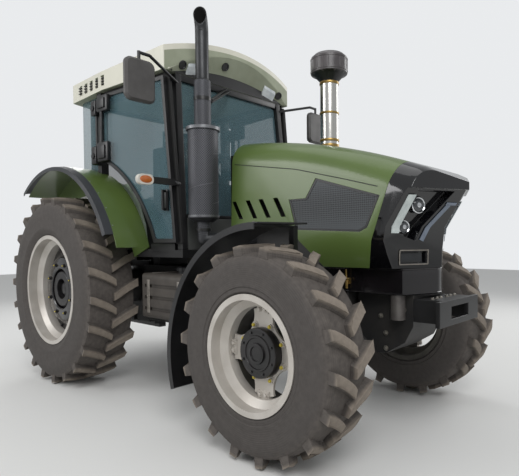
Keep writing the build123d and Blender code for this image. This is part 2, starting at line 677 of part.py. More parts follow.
def nose_lamps():
    """Light bar, two round lamps and a fog lamp of one side, each seated in its bay."""
    lamps = [light_bar()]
    seat_at = nose_front(BAY_DEPTH - FIT)
    for y, z, radius in HEADLAMPS:
        front_x = nose_x(z) - NOSE_SWEEP * y
        forward = (1, NOSE_SWEEP, 0)
        start = (front_x - 140 * forward[0], y - 140 * forward[1], z)
        end = (front_x - 30 * forward[0], y - 30 * forward[1], z)
        lamps.append(rod(start, end, radius) - seat_at)
    fog = front_prism(FOG_BAY) & nose_front(FOG_BAY_DEPTH - 18)
    fog &= front_prism([(135, 1222), (280, 1222), (280, 1170), (135, 1170)])
    lamps.append(fog - nose_front(FOG_BAY_DEPTH - FIT))
    return lamps


def nose_split(offset):
    """Everything ahead of the leaning joint between the painted hood and the black nose."""
    low_x = FRONT_X + 358 + offset
    lean = 0.33
    rise = 1400
    outline = [(low_x, HOOD_SILL_Z), (low_x + lean * rise, HOOD_SILL_Z + rise)]
    outline += [(NOSE_X + 900, HOOD_SILL_Z + rise)]
    outline += [(NOSE_X + 900, HOOD_SILL_Z - 300), (low_x - lean * 300, HOOD_SILL_Z - 300)]
    return side_prism(outline, (-600, 600))


def flank_cut():
    """Space under the hood's rear flanks, open to the engine's sides."""
    outline = [(HOOD_REAR_X - 100, 900), (HOOD_REAR_X - 100, HOOD_FLANK_Z), (FRONT_X - 255, HOOD_FLANK_Z)]
    outline += [(FRONT_X - 5, HOOD_SILL_Z), (FRONT_X - 5, 900)]
    return side_prism(outline, (-600, 600))


def mesh_opening(grow, y_span):
    points = [(FRONT_X + x, z) for x, z in MESH_OUTLINE]
    face = make_face(Polyline(*[(x, y_span[0], z) for x, z in points], close=True))
    face = offset(face, grow) if grow else face
    return extrude(face, amount=y_span[1] - y_span[0], dir=(0, 1, 0))


def louvres():
    """Slanted slots through one side of the hood, behind the mesh."""
    slots = []
    for x in LOUVRE_XS:
        top = FRONT_X + x
        outline = [(top, 1618), (top + LOUVRE_W, 1618), (top + LOUVRE_W + LOUVRE_LEAN, 1478)]
        outline += [(top + LOUVRE_LEAN, 1478)]
        slots.append(side_prism(outline, (200, 600)))
    return slots


def hood_pieces():
    outer = hood_blank(0)
    inner = hood_blank(HOOD_SKIN)
    front = nose_front(0)
    shell = (outer - inner) - nose_split(0) - flank_cut()
    for opening in [mesh_opening(0, (200, 600))] + louvres():
        shell -= opening
        shell -= other_side(opening)
    shell -= rod((STACK_X, STACK_Y, 1500), (STACK_X, STACK_Y, 2400), STACK_R + FIT)
    for side in (-1, 1):
        y = side * HOOD_HINGE_Y
        ear = across_y(HOOD_HINGE_X, HOOD_HINGE_Z, 26, (y - 8, y + 8))
        neck_x = (HOOD_HINGE_X - 26, HOOD_HINGE_X + 26)
        ear += block(neck_x, (y - 8, y + 8), (HOOD_HINGE_Z, HOOD_REAR_TOP_Z - 3))
        ear -= across_y(HOOD_HINGE_X, HOOD_HINGE_Z, HOOD_PIN_R + PIN_PLAY, (y - 20, y + 20))
        shell += ear & outer
    mesh = mesh_opening(MESH_LAP, (200, 600)) & (inner - hood_blank(2 * HOOD_SKIN))
    nose = (outer & front & nose_split(0)) - (inner & nose_front(NOSE_WALL))
    for outline, depth in ((BAY_OUTLINE, BAY_DEPTH), (FOG_BAY, FOG_BAY_DEPTH)):
        bay = front_prism(outline) - nose_front(depth)
        nose -= bay
        nose -= other_side(bay)
    return shell, nose, mesh


def intake_stack():
    base_z = 1880
    outline = [(0, base_z), (STACK_R, base_z), (STACK_R, 2590), (120, 2640), (148, 2650), (148, 2775)]
    outline += [(115, 2805), (0, 2805)]
    face = make_face(Polyline(*[(x, 0, z) for x, z in outline], close=True))
    return Pos(STACK_X, STACK_Y, 0) * revolve(face, Axis.Z, 360)


def exhaust_outlet(pipe_r):
    """Bent pipe end about the origin, turned towards +X and cut upright, with its bore open."""
    bend = Axis((EXHAUST_BEND_R, 0, 0), (0, 1, 0))
    tip = revolve(Circle(pipe_r), bend, 75) - revolve(Circle(pipe_r - 5), bend, 76)
    tip &= block((-2 * pipe_r, EXHAUST_MOUTH), (-2 * pipe_r, 2 * pipe_r), (0, 2 * EXHAUST_BEND_R))
    return Rot(0, 0, EXHAUST_TURN) * tip


def exhaust_stack():
    """Silencer on its bent pipe, with an outlet that turns outwards."""
    bend_z = 2934
    z_low, z_high = 1461, 2199
    pipe_r = 52
    outline = [(0, z_low), (MUFFLER_R - 40, z_low), (MUFFLER_R, z_low + 30), (MUFFLER_R, z_high - 26)]
    outline += [(MUFFLER_COLLAR_R, z_high - 26), (MUFFLER_COLLAR_R, z_high), (66, z_high), (66, 2560)]
    outline += [(pipe_r, 2575), (pipe_r, bend_z), (0, bend_z)]
    face = make_face(Polyline(*[(x, 0, z) for x, z in outline], close=True))
    at = Pos(MUFFLER_X, -MUFFLER_Y, 0)
    shape = at * revolve(face, Axis.Z, 360) + Pos(MUFFLER_X, -MUFFLER_Y, bend_z) * exhaust_outlet(pipe_r)
    elbow_z = HOOD_FLANK_Z - 75
    shape += rod((MUFFLER_X, -MUFFLER_Y, z_low), (MUFFLER_X, -MUFFLER_Y, elbow_z), 50)
    shape += Pos(MUFFLER_X, -MUFFLER_Y, elbow_z) * Sphere(50)
    shape += rod((MUFFLER_X, -MUFFLER_Y, elbow_z), (ENGINE_REAR_X + 120, 100 - ENGINE_HALF_W, elbow_z), 50)
    inside = (ENGINE_REAR_X - 100, ENGINE_REAR_X + 300)
    shape -= block(inside, (-ENGINE_HALF_W, 0), (elbow_z - 80, elbow_z + 80))
    return shape


def hood_support():
    """Frame behind the engine that carries the hood's hinge pins."""
    x_span = (HOOD_REAR_X - 50, HOOD_REAR_X - 20)
    shape = block(x_span, (-230, 230), (CLUTCH_TOP_Z, 1500))
    shape += block(x_span, (-370, 370), (1500, HOOD_HINGE_Z - 60))
    for side in (-1, 1):
        ear_y = sorted((side * (HOOD_HINGE_Y + 13), side * (HOOD_HINGE_Y + 29)))
        pin_y = sorted((side * (HOOD_HINGE_Y - 10), side * (HOOD_HINGE_Y + 29)))
        ear_z = (HOOD_HINGE_Z - 100, HOOD_HINGE_Z + HOOD_PIN_R + 2)
        shape += block((x_span[0], HOOD_HINGE_X + 10), ear_y, ear_z)
        shape += across_y(HOOD_HINGE_X, HOOD_HINGE_Z, HOOD_PIN_R, pin_y)
    return shape


# Cab: floor, walls, pillars, roof and glass
def cab_floor():
    front_x = PILLAR_FOOT[0] + 45
    shelf_x = REAR_X + FENDER_SHELF_R
    sill_rear_x = REAR_X + 1100
    plan = [(REAR_WALL_X + 40, FENDER_SHELF_Y - FIT), (shelf_x - 20, FENDER_SHELF_Y - FIT)]
    plan += [(shelf_x, FENDER_INNER_Y - 1), (front_x, 675)]
    plan += [(x, -y) for x, y in reversed(plan)]
    shape = plan_prism(plan, (FLOOR_Z - FLOOR_T, FLOOR_Z))
    outline = [(sill_rear_x, 699), (front_x - 100, 678), (front_x - 100, 648), (sill_rear_x, 668)]
    sill = plan_prism(outline, (FLOOR_Z - 10, DOOR_BOTTOM_Z - 6))
    shape += sill + other_side(sill)
    for x, seat_z in ((REAR_X + 300, GEARBOX_TOP_Z), (REAR_X + 1000, CLUTCH_TOP_Z)):
        shape += block((x, x + 120), (-170, 170), (seat_z, FLOOR_Z - FLOOR_T))
    return shape


def cab_firewall():
    x = PILLAR_FOOT[0]
    return block((x - 20, x + 20), (-600, 600), (FLOOR_Z, FIREWALL_TOP_Z))


def pillar_line(z):
    """Centre of a front pillar at a height."""
    share = (z - PILLAR_FOOT[2]) / (PILLAR_HEAD[2] - PILLAR_FOOT[2])
    return [foot + (head - foot) * share for foot, head in zip(PILLAR_FOOT, PILLAR_HEAD)]


def front_pillars():
    shape = bar(pillar_line(FLOOR_Z - 60), pillar_line(CAB_TOP_Z + 60), PILLAR_W, PILLAR_D)
    return pair(shape & block((-3000, 3000), (0, 2000), (FLOOR_Z + FIT, CAB_TOP_Z - FIT)))


def fender_drum(radius):
    return across_y(REAR_X, REAR_TYRE_R, radius, (0, 1500))


def hinge_barrel(z_span):
    low, high = [(HINGE_BARREL_X, HINGE_BARREL_Y, z) for z in z_span]
    return rod(low, high, HINGE_BARREL_R)


def door_pillars():
    foot_z = FLOOR_Z + 360
    y_span = (FENDER_INNER_Y + 5, HINGE_Y - 25)
    shape = block((HINGE_X - 110, HINGE_X - 40), y_span, (foot_z, CAB_TOP_Z - FIT))
    shape -= fender_drum(FENDER_R + FIT)
    for z in HINGE_ZS:
        span = (z - HINGE_BARREL_H, z - FIT)
        shape += block((HINGE_X - 60, HINGE_BARREL_X), (HINGE_Y - 50, HINGE_Y + 5), span)
        shape += hinge_barrel(span)
    return pair(shape)


def rear_pillars():
    x_span = (REAR_WALL_X - 30, REAR_WALL_X + 40)
    y_span = (FENDER_SHELF_Y - 70, FENDER_SHELF_Y - FIT)
    return pair(block(x_span, y_span, (FLOOR_Z - FLOOR_T, CAB_TOP_Z - FIT)))


def cab_rear_panel():
    half = FENDER_SHELF_Y - 70 - FIT
    return block((REAR_WALL_X - 20, REAR_WALL_X + 20), (-half, half), (FLOOR_Z - FLOOR_T, REAR_SILL_Z))


def rear_window():
    half = FENDER_SHELF_Y - 70 - FIT
    return block((REAR_WALL_X - 3, REAR_WALL_X + 3), (-half, half), (REAR_SILL_Z + FIT, CAB_TOP_Z - FIT))


def quarter_glass():
    y = FENDER_INNER_Y + 12
    pane = block((REAR_WALL_X - 20, HINGE_X - 110 - FIT), (y, y + GLASS), (FLOOR_Z + 360, CAB_TOP_Z - FIT))
    return pair(pane - fender_drum(FENDER_R + FIT))


def windscreen():
    low = pillar_line(FIREWALL_TOP_Z + FIT)
    high = pillar_line(CAB_TOP_Z - FIT)
    corners = [(low[0], -low[1] + 36, low[2]), (low[0], low[1] - 36, low[2])]
    corners += [(high[0], high[1] - 36, high[2]), (high[0], -high[1] + 36, high[2])]
    face = make_face(Polyline(*corners, close=True))
    return extrude(face, amount=GLASS, dir=(-1, 0, 0))


def closed_loop(first, *parts):
    """Face inside a loop of points, where a pair of points is the middle and end of an arc."""
    edges = []
    here = first
    for part in parts + (first,):
        if isinstance(part[0], tuple):
            edges.append(ThreePointArc(here, *part))
            here = part[1]
        else:
            edges.append(Line(here, part))
            here = part
    return make_face(edges)


def visor_space(drop):
    """Room under the visor, down from its crowned underside, which leans out to the front rim."""
    x = ROOF_FRONT_X + 40
    high = CAB_TOP_Z + VISOR_LIFT + 55 - drop
    low = CAB_TOP_Z - 300
    arch = ((x, 0, high), (x, ROOF_HALF_W, high - VISOR_DROP))
    foot = [(x, ROOF_HALF_W, low), (x, -ROOF_HALF_W, low)]
    face = closed_loop((x, -ROOF_HALF_W, high - VISOR_DROP), arch, *foot)
    room = extrude(face, amount=400, dir=(-1, 0, -VISOR_SLOPE))
    ahead = block((ROOF_HEAD_X, x + 60), (-900, 900), (CAB_TOP_Z - 10, CAB_TOP_Z + ROOF_H + 10))
    return room & ahead


def cab_roof():
    """Moulded roof, crowned from side to side, with a visor that leans out over the windscreen."""
    edge_z = CAB_TOP_Z + ROOF_EDGE_H
    rear_x = REAR_X - 175
    crown = ((0, 0, CAB_TOP_Z + ROOF_H), (0, ROOF_HALF_W, edge_z))
    foot = [(0, ROOF_HALF_W, CAB_TOP_Z), (0, -ROOF_HALF_W, CAB_TOP_Z)]
    section = closed_loop((0, -ROOF_HALF_W, edge_z), crown, *foot)
    body = Pos(rear_x - 50, 0, 0) * extrude(section, amount=ROOF_FRONT_X + 100 - rear_x, dir=(1, 0, 0))
    z = CAB_TOP_Z - 50
    shoulder_x = ROOF_FRONT_X - 95
    bow = ((ROOF_FRONT_X, 0, z), (shoulder_x, 735, z))
    side = [(REAR_X + 500, ROOF_HALF_W, z), (rear_x + 60, ROOF_HALF_W - 20, z), (rear_x, ROOF_HALF_W - 200, z)]
    far = [(x, -y, z) for x, y, z in reversed(side)]
    plan = closed_loop((shoulder_x, -735, z), bow, *side, *far)
    body &= extrude(plan, amount=ROOF_H + 200, dir=(0, 0, 1))
    body -= visor_space(0)
    for index in range(ROOF_VENTS):
        x = REAR_X + 40 + 110 * index
        for y in (-ROOF_HALF_W, ROOF_HALF_W):
            body -= block((x, x + 55), (y - 22, y + 22), (CAB_TOP_Z + 40, CAB_TOP_Z + 130))
    return body


def roof_lamps():
    """Two lamps under the visor that follow its slope, and two on the roof's rear face."""
    under = visor_space(FIT) - visor_space(ROOF_LAMP_T)
    lamps = []
    for y in (-ROOF_LAMP_Y, ROOF_LAMP_Y):
        sides = (y - 75, y + 75)
        lamps.append(under & block((ROOF_HEAD_X, ROOF_HEAD_X + 42), sides, (CAB_TOP_Z, CAB_TOP_Z + 300)))
        lamps.append(block((REAR_X - 200, REAR_X - 175), sides, (CAB_TOP_Z + 45, CAB_TOP_Z + 115)))
    return lamps


def door_outline(grow):
    """Side outline of a door, its lower rear edge an arc about the rear axle."""
    z0 = REAR_TYRE_R
    start = (REAR_X + math.sqrt(DOOR_ARC_R ** 2 - (DOOR_BOTTOM_Z - z0) ** 2), DOOR_BOTTOM_Z)
    end = (DOOR_REAR_X, DOOR_ARC_TOP_Z)
    low_angle = math.atan2(start[1] - z0, start[0] - REAR_X)
    high_angle = math.atan2(end[1] - z0, end[0] - REAR_X)
    mid_angle = (low_angle + high_angle) / 2
    mid = (REAR_X + DOOR_ARC_R * math.cos(mid_angle), z0 + DOOR_ARC_R * math.sin(mid_angle))
    top_front = (PILLAR_HEAD[0] + 15, DOOR_TOP_Z)
    foot_front = (PILLAR_FOOT[0] + 15, DOOR_BOTTOM_Z)
    corners = [end, (DOOR_REAR_X, DOOR_TOP_Z), top_front, foot_front, start]
    edges = [Line((a[0], 0, a[1]), (b[0], 0, b[1])) for a, b in zip(corners, corners[1:])]
    edges.append(ThreePointArc((start[0], 0, start[1]), (mid[0], 0, mid[1]), (end[0], 0, end[1])))
    face = make_face(edges)
    return offset(face, grow) if grow else face


def hung(shape):
    """Turn a door drawn square to the tractor to its toed-in place."""
    return Pos(HINGE_X, HINGE_Y, 0) * (Rot(0, 0, -DOOR_TOE_IN) * (Pos(-HINGE_X, -HINGE_Y, 0) * shape))


def door():
    inner_y = HINGE_Y - DOOR_THICK
    outer = extrude(Pos(0, inner_y, 0) * door_outline(0), amount=DOOR_THICK, dir=(0, 1, 0))
    hole = Pos(0, inner_y - 5, 0) * door_outline(-DOOR_FRAME_W)
    frame = hung(outer - extrude(hole, amount=DOOR_THICK + 10, dir=(0, 1, 0)))
    for z in HINGE_ZS:
        span = (z, z + HINGE_BARREL_H)
        frame += block((HINGE_BARREL_X, HINGE_X + 50), (HINGE_Y - 12, HINGE_Y + 20), span)
        frame += hinge_barrel(span)
    return frame


def door_glass():
    outline = Pos(0, HINGE_Y - DOOR_THICK / 2, 0) * door_outline(-DOOR_FRAME_W - FIT)
    return hung(extrude(outline, amount=GLASS, dir=(0, 1, 0)))


def rear_fender():
    inside = FENDER_R - FENDER_SKIN
    web_y = FENDER_INNER_Y + FENDER_SKIN
    shelf = FENDER_SHELF_R + FENDER_SKIN
    section = [(FENDER_SHELF_R, FENDER_SHELF_Y), (FENDER_SHELF_R, web_y), (inside, web_y)]
    section += [(inside, FENDER_OUTER_Y), (FENDER_R, FENDER_OUTER_Y), (FENDER_R, FENDER_INNER_Y)]
    section += [(shelf, FENDER_INNER_Y), (shelf, FENDER_SHELF_Y)]
    return Pos(REAR_X, 0, REAR_TYRE_R) * arc_of(section, 20, 127)


def fender_flare():
    inside = FENDER_R - FENDER_SKIN
    root_y = FENDER_OUTER_Y + FIT
    section = [(inside, root_y), (FENDER_R, root_y), (FENDER_R - 10, FENDER_OUTER_Y + 66)]
    section += [(FENDER_R - 45, FENDER_OUTER_Y + 75), (FENDER_R - 45, FENDER_OUTER_Y + 67)]
    section += [(inside - 10, FENDER_OUTER_Y + 58)]
    return Pos(REAR_X, 0, REAR_TYRE_R) * arc_of(section, 26, 124)


def seat():
    x = REAR_X + 560
    z = FLOOR_Z + 320
    shape = block((x, x + 360), (-170, 170), (FLOOR_Z, z))
    shape += block((x - 20, x + 470), (-255, 255), (z, z + 130))
    back = block((x - 110, x), (-245, 245), (z + 40, z + 680))
    back += block((x - 95, x - 10), (-140, 140), (z + 680, z + 860))
    return shape + back


def steering_console():
    x = PILLAR_FOOT[0] - 200
    top_z = FLOOR_Z + 580
    wheel_at = (x - 190, 0, top_z + 170)
    shape = block((x - 70, x + 90), (-170, 170), (FLOOR_Z, top_z))
    shape += rod((x - 20, 0, top_z - 40), wheel_at, 32)
    wheel_plane = Plane(origin=wheel_at, z_dir=(-0.63, 0, 0.78))
    shape += wheel_plane * Torus(185, 16)
    shape += wheel_plane * Box(370, 36, 22)
    return shape


def mirrors():
    x = REAR_X + 1470
    arm_x = x + 28
    arm_z = CAB_TOP_Z + 10
    root = pillar_line(CAB_TOP_Z - 80)
    head = block((x, x + 55), (905, 1150), (CAB_TOP_Z - 350, CAB_TOP_Z - 40))
    head = head.fillet(50, head.edges().filter_by(Axis.X))
    head = head.chamfer(16, None, head.faces().filter_by(Axis.X).edges())
    arm = rod((root[0] + 20, root[1], root[2]), (arm_x, 940, arm_z), MIRROR_ARM_R)
    arm += rod((arm_x, 940, arm_z), (arm_x, 1030, arm_z), MIRROR_ARM_R)
    arm += rod((arm_x, 1030, arm_z + 10), (arm_x, 1030, CAB_TOP_Z - 80), MIRROR_ARM_R)
    arm += Pos(arm_x, 940, arm_z) * Sphere(MIRROR_ARM_R)
    foot = pillar_line(TURN_LAMP_Z)
    lamp = block((x + 5, x + 45), (930, 1060), (TURN_LAMP_Z - 38, TURN_LAMP_Z + 38))
    lamp = lamp.fillet(36, lamp.edges().filter_by(Axis.X))
    lamp += rod((foot[0], foot[1], TURN_LAMP_Z), (x + 25, 750, TURN_LAMP_Z), 20)
    lamp += block((x + 8, x + 42), (735, 940), (TURN_LAMP_Z - 24, TURN_LAMP_Z + 24))
    space = front_pillar_space()
    pieces = [head + arm - space, lamp - space]
    return Compound(children=pieces + [other_side(piece) for piece in pieces])


def front_pillar_space():
    ends = (pillar_line(FLOOR_Z - 60), pillar_line(CAB_TOP_Z + 60))
    return bar(*ends, PILLAR_W + 2 * FIT, PILLAR_D + 2 * FIT)


def fuel_tank():
    base_z = TANK_TOP_Z - TANK_H
    shape = block((SIDE_BOX_REAR_X, SIDE_BOX_FRONT_X), (-750, -SIDE_BOX_Y), (base_z, TANK_TOP_Z))
    shape = shape.fillet(50, shape.edges().filter_by(Axis.X) + shape.edges().filter_by(Axis.Z))
    for index in range(TANK_GROOVES):
        z = base_z + 70 + TANK_GROOVE_PITCH * index
        shape -= block((SIDE_BOX_REAR_X + 70, SIDE_BOX_FRONT_X - 70), (-760, -736), (z, z + 28))
    return shape


def left_steps():
    """Battery box with the ladder up to the left door."""
    x_span = (SIDE_BOX_REAR_X, SIDE_BOX_REAR_X + 340)
    box_z = (BATTERY_TOP_Z - BATTERY_H, BATTERY_TOP_Z)
    shape = block((SIDE_BOX_REAR_X, SIDE_BOX_FRONT_X), (SIDE_BOX_Y, 640), box_z)
    for x in (x_span[0], x_span[1] - STEP_CHEEK):
        shape += step_cheek(x)
    for index in range(3):
        z = 470 + 260 * index
        y = 800 - 40 * index
        shape += block(x_span, (y - 170, y), (z, z + 30))
    return shape


def step_cheek(x):
    top_z = FLOOR_Z - FLOOR_T - 1
    points = [(x, 610, 440), (x, 800, 440), (x, 800, 510), (x, 690, top_z), (x, 610, top_z)]
    return extrude(make_face(Polyline(*points, close=True)), amount=STEP_CHEEK, dir=(1, 0, 0))


def main():
    for node, shape in wheels().items():
        save(f"{node}_left", shape)
        save(f"{node}_right", other_side(shape))
    for node, make in (("knuckle", knuckle), ("front_guard", front_guard), ("rear_fender", rear_fender),
                       ("door", door), ("door_glass", door_glass)):
        shape = make()
        save(f"{node}_left", shape)
        save(f"{node}_right", other_side(shape))
    shell, nose, mesh = hood_pieces()
    lamps = nose_lamps()
    save("hood_shell", shell)
    save("nose_fascia", nose)
    save("hood_grilles", pair(mesh))
    save("headlamps", Compound(children=lamps + [other_side(lamp) for lamp in lamps]))
    save("fender_flares", pair(fender_flare()))
    save("roof_lamps", Compound(children=roof_lamps()))
    drive = (front_axle, steering_rod, front_frame, front_carrier, engine_block, transmission, rear_axle)
    linkage = (drawbar, lower_links, lift_arms, lift_rods)
    stacks = (intake_stack, exhaust_stack, hood_support, fuel_tank, left_steps)
    cab = (cab_floor, cab_firewall, front_pillars, door_pillars, rear_pillars, cab_rear_panel, cab_roof)
    panes = (rear_window, quarter_glass, windscreen)
    fittings = (seat, steering_console, mirrors)
    for make in drive + linkage + stacks + cab + panes + fittings:
        save(make.__name__, make())


if __name__ == "__main__":
    main()
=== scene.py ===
import json
import math

import bmesh
import bpy
from mathutils import Matrix, Vector
from mathutils.bvhtree import BVHTree

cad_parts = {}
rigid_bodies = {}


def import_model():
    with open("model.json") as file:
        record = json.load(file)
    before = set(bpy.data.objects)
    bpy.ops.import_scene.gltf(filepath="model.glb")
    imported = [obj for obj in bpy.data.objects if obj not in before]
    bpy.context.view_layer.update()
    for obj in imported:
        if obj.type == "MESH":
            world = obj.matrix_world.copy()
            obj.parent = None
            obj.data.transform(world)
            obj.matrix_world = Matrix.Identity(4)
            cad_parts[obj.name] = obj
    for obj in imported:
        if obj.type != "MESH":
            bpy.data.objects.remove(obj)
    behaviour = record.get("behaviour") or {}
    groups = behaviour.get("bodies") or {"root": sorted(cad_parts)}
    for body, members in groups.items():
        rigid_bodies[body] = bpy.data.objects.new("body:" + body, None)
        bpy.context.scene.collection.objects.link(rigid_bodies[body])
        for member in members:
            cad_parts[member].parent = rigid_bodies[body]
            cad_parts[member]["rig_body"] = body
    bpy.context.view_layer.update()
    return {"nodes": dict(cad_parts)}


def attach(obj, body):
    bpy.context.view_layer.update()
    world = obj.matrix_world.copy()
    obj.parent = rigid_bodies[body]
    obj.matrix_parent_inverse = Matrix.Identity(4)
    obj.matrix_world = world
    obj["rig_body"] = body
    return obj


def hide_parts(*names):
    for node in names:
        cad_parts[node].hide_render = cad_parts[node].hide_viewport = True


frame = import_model()

# Studio: a plain pale floor that runs into a pale surround, lit by large soft lamps.
# The floor is matt paper, so it takes a soft shadow and adds no colour.
# The camera stands low off the front right corner.
FLOOR_GREY = "#dcdcda"
FLOOR_SIZE = 40.0
FLOOR_DROP = 0.0005
SURROUND = "#f2f4f6"
SURROUND_LIGHT = 0.56
SURROUND_SEEN = 0.92
LAMP_AIM = Vector((0, 0, 1.2))
SHARP_TURN = math.radians(38)


def linear(code):
    """A colour written as an sRGB hex value, as Blender's linear red, green, blue and alpha."""
    parts = [int(code[i:i + 2], 16) / 255 for i in (1, 3, 5)]
    return [c / 12.92 if c <= 0.04045 else ((c + 0.055) / 1.055) ** 2.4 for c in parts] + [1.0]


def add_node(tree, kind, settings=None, inputs=None):
    """Add a node, set its properties, and set or link its inputs by name or number."""
    node = tree.nodes.new(kind)
    for key, value in (settings or {}).items():
        setattr(node, key, value)
    for key, value in (inputs or {}).items():
        if isinstance(value, bpy.types.NodeSocket):
            tree.links.new(value, node.inputs[key])
        else:
            node.inputs[key].default_value = value
    return node


def new_finish(name, **sockets):
    """A material with one shader, and its node tree, shader and object coordinates to build on."""
    made = bpy.data.materials.new(name)
    made.use_nodes = True
    tree = made.node_tree
    shader = tree.nodes["Principled BSDF"]
    for key, value in sockets.items():
        shader.inputs[key.replace("_", " ")].default_value = value
    place = add_node(tree, "ShaderNodeTexCoord").outputs["Object"]
    return made, tree, shader, place


def new_piece(name, bm, *finishes):
    """A mesh object at the origin, smooth apart from edges that turn sharply."""
    for face in bm.faces:
        face.smooth = True
    for edge in bm.edges:
        edge.smooth = edge.is_manifold and edge.calc_face_angle(0.0) < SHARP_TURN
    mesh = bpy.data.meshes.new(name)
    bm.to_mesh(mesh)
    bm.free()
    for finish in finishes:
        mesh.materials.append(finish)
    made = bpy.data.objects.new(name, mesh)
    bpy.context.scene.collection.objects.link(made)
    return made


paper, _, shader, _ = new_finish("studio_paper", Roughness=0.9)
shader.inputs["Base Color"].default_value = linear(FLOOR_GREY)
bm = bmesh.new()
bmesh.ops.create_grid(bm, x_segments=1, y_segments=1, size=FLOOR_SIZE / 2)
floor = new_piece("studio_floor", bm, paper)
floor.location.z = -FLOOR_DROP

world = bpy.data.worlds.new("studio")
bpy.context.scene.world = world
world.use_nodes = True
tree = world.node_tree
light_path = add_node(tree, "ShaderNodeLightPath").outputs
seen = add_node(tree, "ShaderNodeMath", {"operation": "MAXIMUM"},
                {0: light_path["Is Camera Ray"], 1: light_path["Is Transmission Ray"]}).outputs[0]
strength = add_node(tree, "ShaderNodeMapRange", inputs={
    "Value": seen, "To Min": SURROUND_LIGHT, "To Max": SURROUND_SEEN}).outputs[0]
tree.nodes["Background"].inputs["Color"].default_value = linear(SURROUND)
tree.links.new(strength, tree.nodes["Background"].inputs["Strength"])

SOFT_LAMPS = (
    ("key", (5.5, -4.2, 6.0), 4.0, 280),
    ("side", (-3.2, -6.5, 4.2), 4.0, 170),
    ("left_fill", (2.6, 6.8, 4.2), 4.0, 130),
    ("top", (0.0, 0.0, 7.5), 5.0, 50),
    ("rear", (-6.5, 2.5, 4.5), 4.0, 100),
)
for name, spot, size, watts in SOFT_LAMPS:
    lamp = bpy.data.lights.new(f"lamp_{name}", "AREA")
    lamp.shape = "DISK"
    lamp.size = size
    lamp.energy = watts
    holder = bpy.data.objects.new(f"lamp_{name}", lamp)
    holder.location = spot
    holder.rotation_euler = (LAMP_AIM - Vector(spot)).to_track_quat("-Z", "Y").to_euler()
    holder.visible_camera = False
    holder.visible_transmission = False
    bpy.context.scene.collection.objects.link(holder)

CAMERA_SPOT = (3.4246, -2.9748, 1.2908)
CAMERA_TURN = 41.474
CAMERA_DIP = 1.485
CAMERA_ROLL = -0.425
PHOTO_WIDTH = 519
PHOTO_HEIGHT = 476
FOCAL_PIXELS = 484.2255
PHOTO_CENTRE = (291.4173, 255.4699)
camera = bpy.data.cameras.new("photo_camera")
camera.sensor_width = 36.0
camera.sensor_fit = "HORIZONTAL"
camera.lens = FOCAL_PIXELS / PHOTO_WIDTH * camera.sensor_width
camera.shift_x = (PHOTO_WIDTH / 2 - PHOTO_CENTRE[0]) / PHOTO_WIDTH
camera.shift_y = (PHOTO_CENTRE[1] - PHOTO_HEIGHT / 2) / PHOTO_WIDTH
holder = bpy.data.objects.new("photo_camera", camera)
holder.matrix_world = (Matrix.Translation(CAMERA_SPOT)
                       @ Matrix.Rotation(math.radians(CAMERA_TURN), 4, "Z")
                       @ Matrix.Rotation(math.radians(90 - CAMERA_DIP), 4, "X")
                       @ Matrix.Rotation(math.radians(CAMERA_ROLL), 4, "Z"))
bpy.context.scene.collection.objects.link(holder)
bpy.context.scene.camera = holder
bpy.context.scene.view_settings.view_transform = "Standard"

# Castings: the engine, gearbox and axles are sand-cast iron under dull black paint.
# They are bolted end to end and carry everything else. The sand leaves a coarse skin.
CAST_EDGE = 0.005
MERGE = 0.00001
FLAT = math.radians(0.6)
EDGE_TURN = math.radians(32)


def coat(name, light, dark, roughness, patch, grain, depth, **sockets):
    """A painted or moulded surface: two close shades in patches, and a grain that catches the light.
    Patch and grain are sizes in metres, and depth is the grain's height. A grain finer than 2 mm
    would not show, so it is drawn that coarse."""
    made, tree, shader, place = new_finish(name, **sockets)
    patches = add_node(tree, "ShaderNodeTexNoise", inputs={
        "Vector": place, "Scale": 1 / patch, "Detail": 5.0})
    ramp = add_node(tree, "ShaderNodeMapRange", inputs={
        "Value": patches.outputs["Fac"], "From Min": 0.35, "From Max": 0.68})
    shade = add_node(tree, "ShaderNodeMix", {"data_type": "RGBA"}, {
        "Factor": ramp.outputs[0], 6: linear(light), 7: linear(dark)})
    dull = add_node(tree, "ShaderNodeMapRange", inputs={
        "Value": patches.outputs["Fac"], "To Min": roughness * 0.8, "To Max": roughness * 1.25})
    fine = add_node(tree, "ShaderNodeTexNoise", inputs={"Vector": place, "Scale": 1 / grain, "Detail": 3.0})
    bump = add_node(tree, "ShaderNodeBump", inputs={
        "Height": fine.outputs["Fac"], "Distance": depth, "Strength": 0.6})
    tree.links.new(shade.outputs[2], shader.inputs["Base Color"])
    tree.links.new(dull.outputs[0], shader.inputs["Roughness"])
    tree.links.new(bump.outputs[0], shader.inputs["Normal"])
    return made


def finished(node, finish, edge, regions=(), split=None):
    """A copy of a CAD node with its edges rolled over, which stands for the node.
    A region is a further finish and a test of a face's middle and direction.
    Faces are first split at a plane across Y, where one is given."""
    source = frame["nodes"][node]
    bm = bmesh.new()
    bm.from_mesh(source.data)
    bmesh.ops.remove_doubles(bm, verts=bm.verts, dist=MERGE)
    if edge:
        bmesh.ops.dissolve_limit(bm, angle_limit=FLAT, verts=bm.verts, edges=bm.edges)
        sharp = [e for e in bm.edges if e.is_manifold and e.calc_face_angle(0.0) > EDGE_TURN]
        bmesh.ops.bevel(bm, geom=sharp, offset=edge, offset_type="OFFSET", segments=2, profile=0.5,
                        affect="EDGES", material=-1, clamp_overlap=True)
    if split:
        bmesh.ops.bisect_plane(bm, geom=bm.verts[:] + bm.edges[:] + bm.faces[:], plane_co=(0, split, 0),
                               plane_no=(0, 1, 0))
    bm.normal_update()
    for index, (extra, inside) in enumerate(regions, 1):
        for face in bm.faces:
            if inside(face.calc_center_median(), face.normal):
                face.material_index = index
    made = new_piece(f"{node}_finished", bm, finish, *[extra for extra, inside in regions])
    made.modifiers.new("even_shading", "WEIGHTED_NORMAL").keep_sharp = True
    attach(made, source["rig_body"])
    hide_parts(node)
    return made


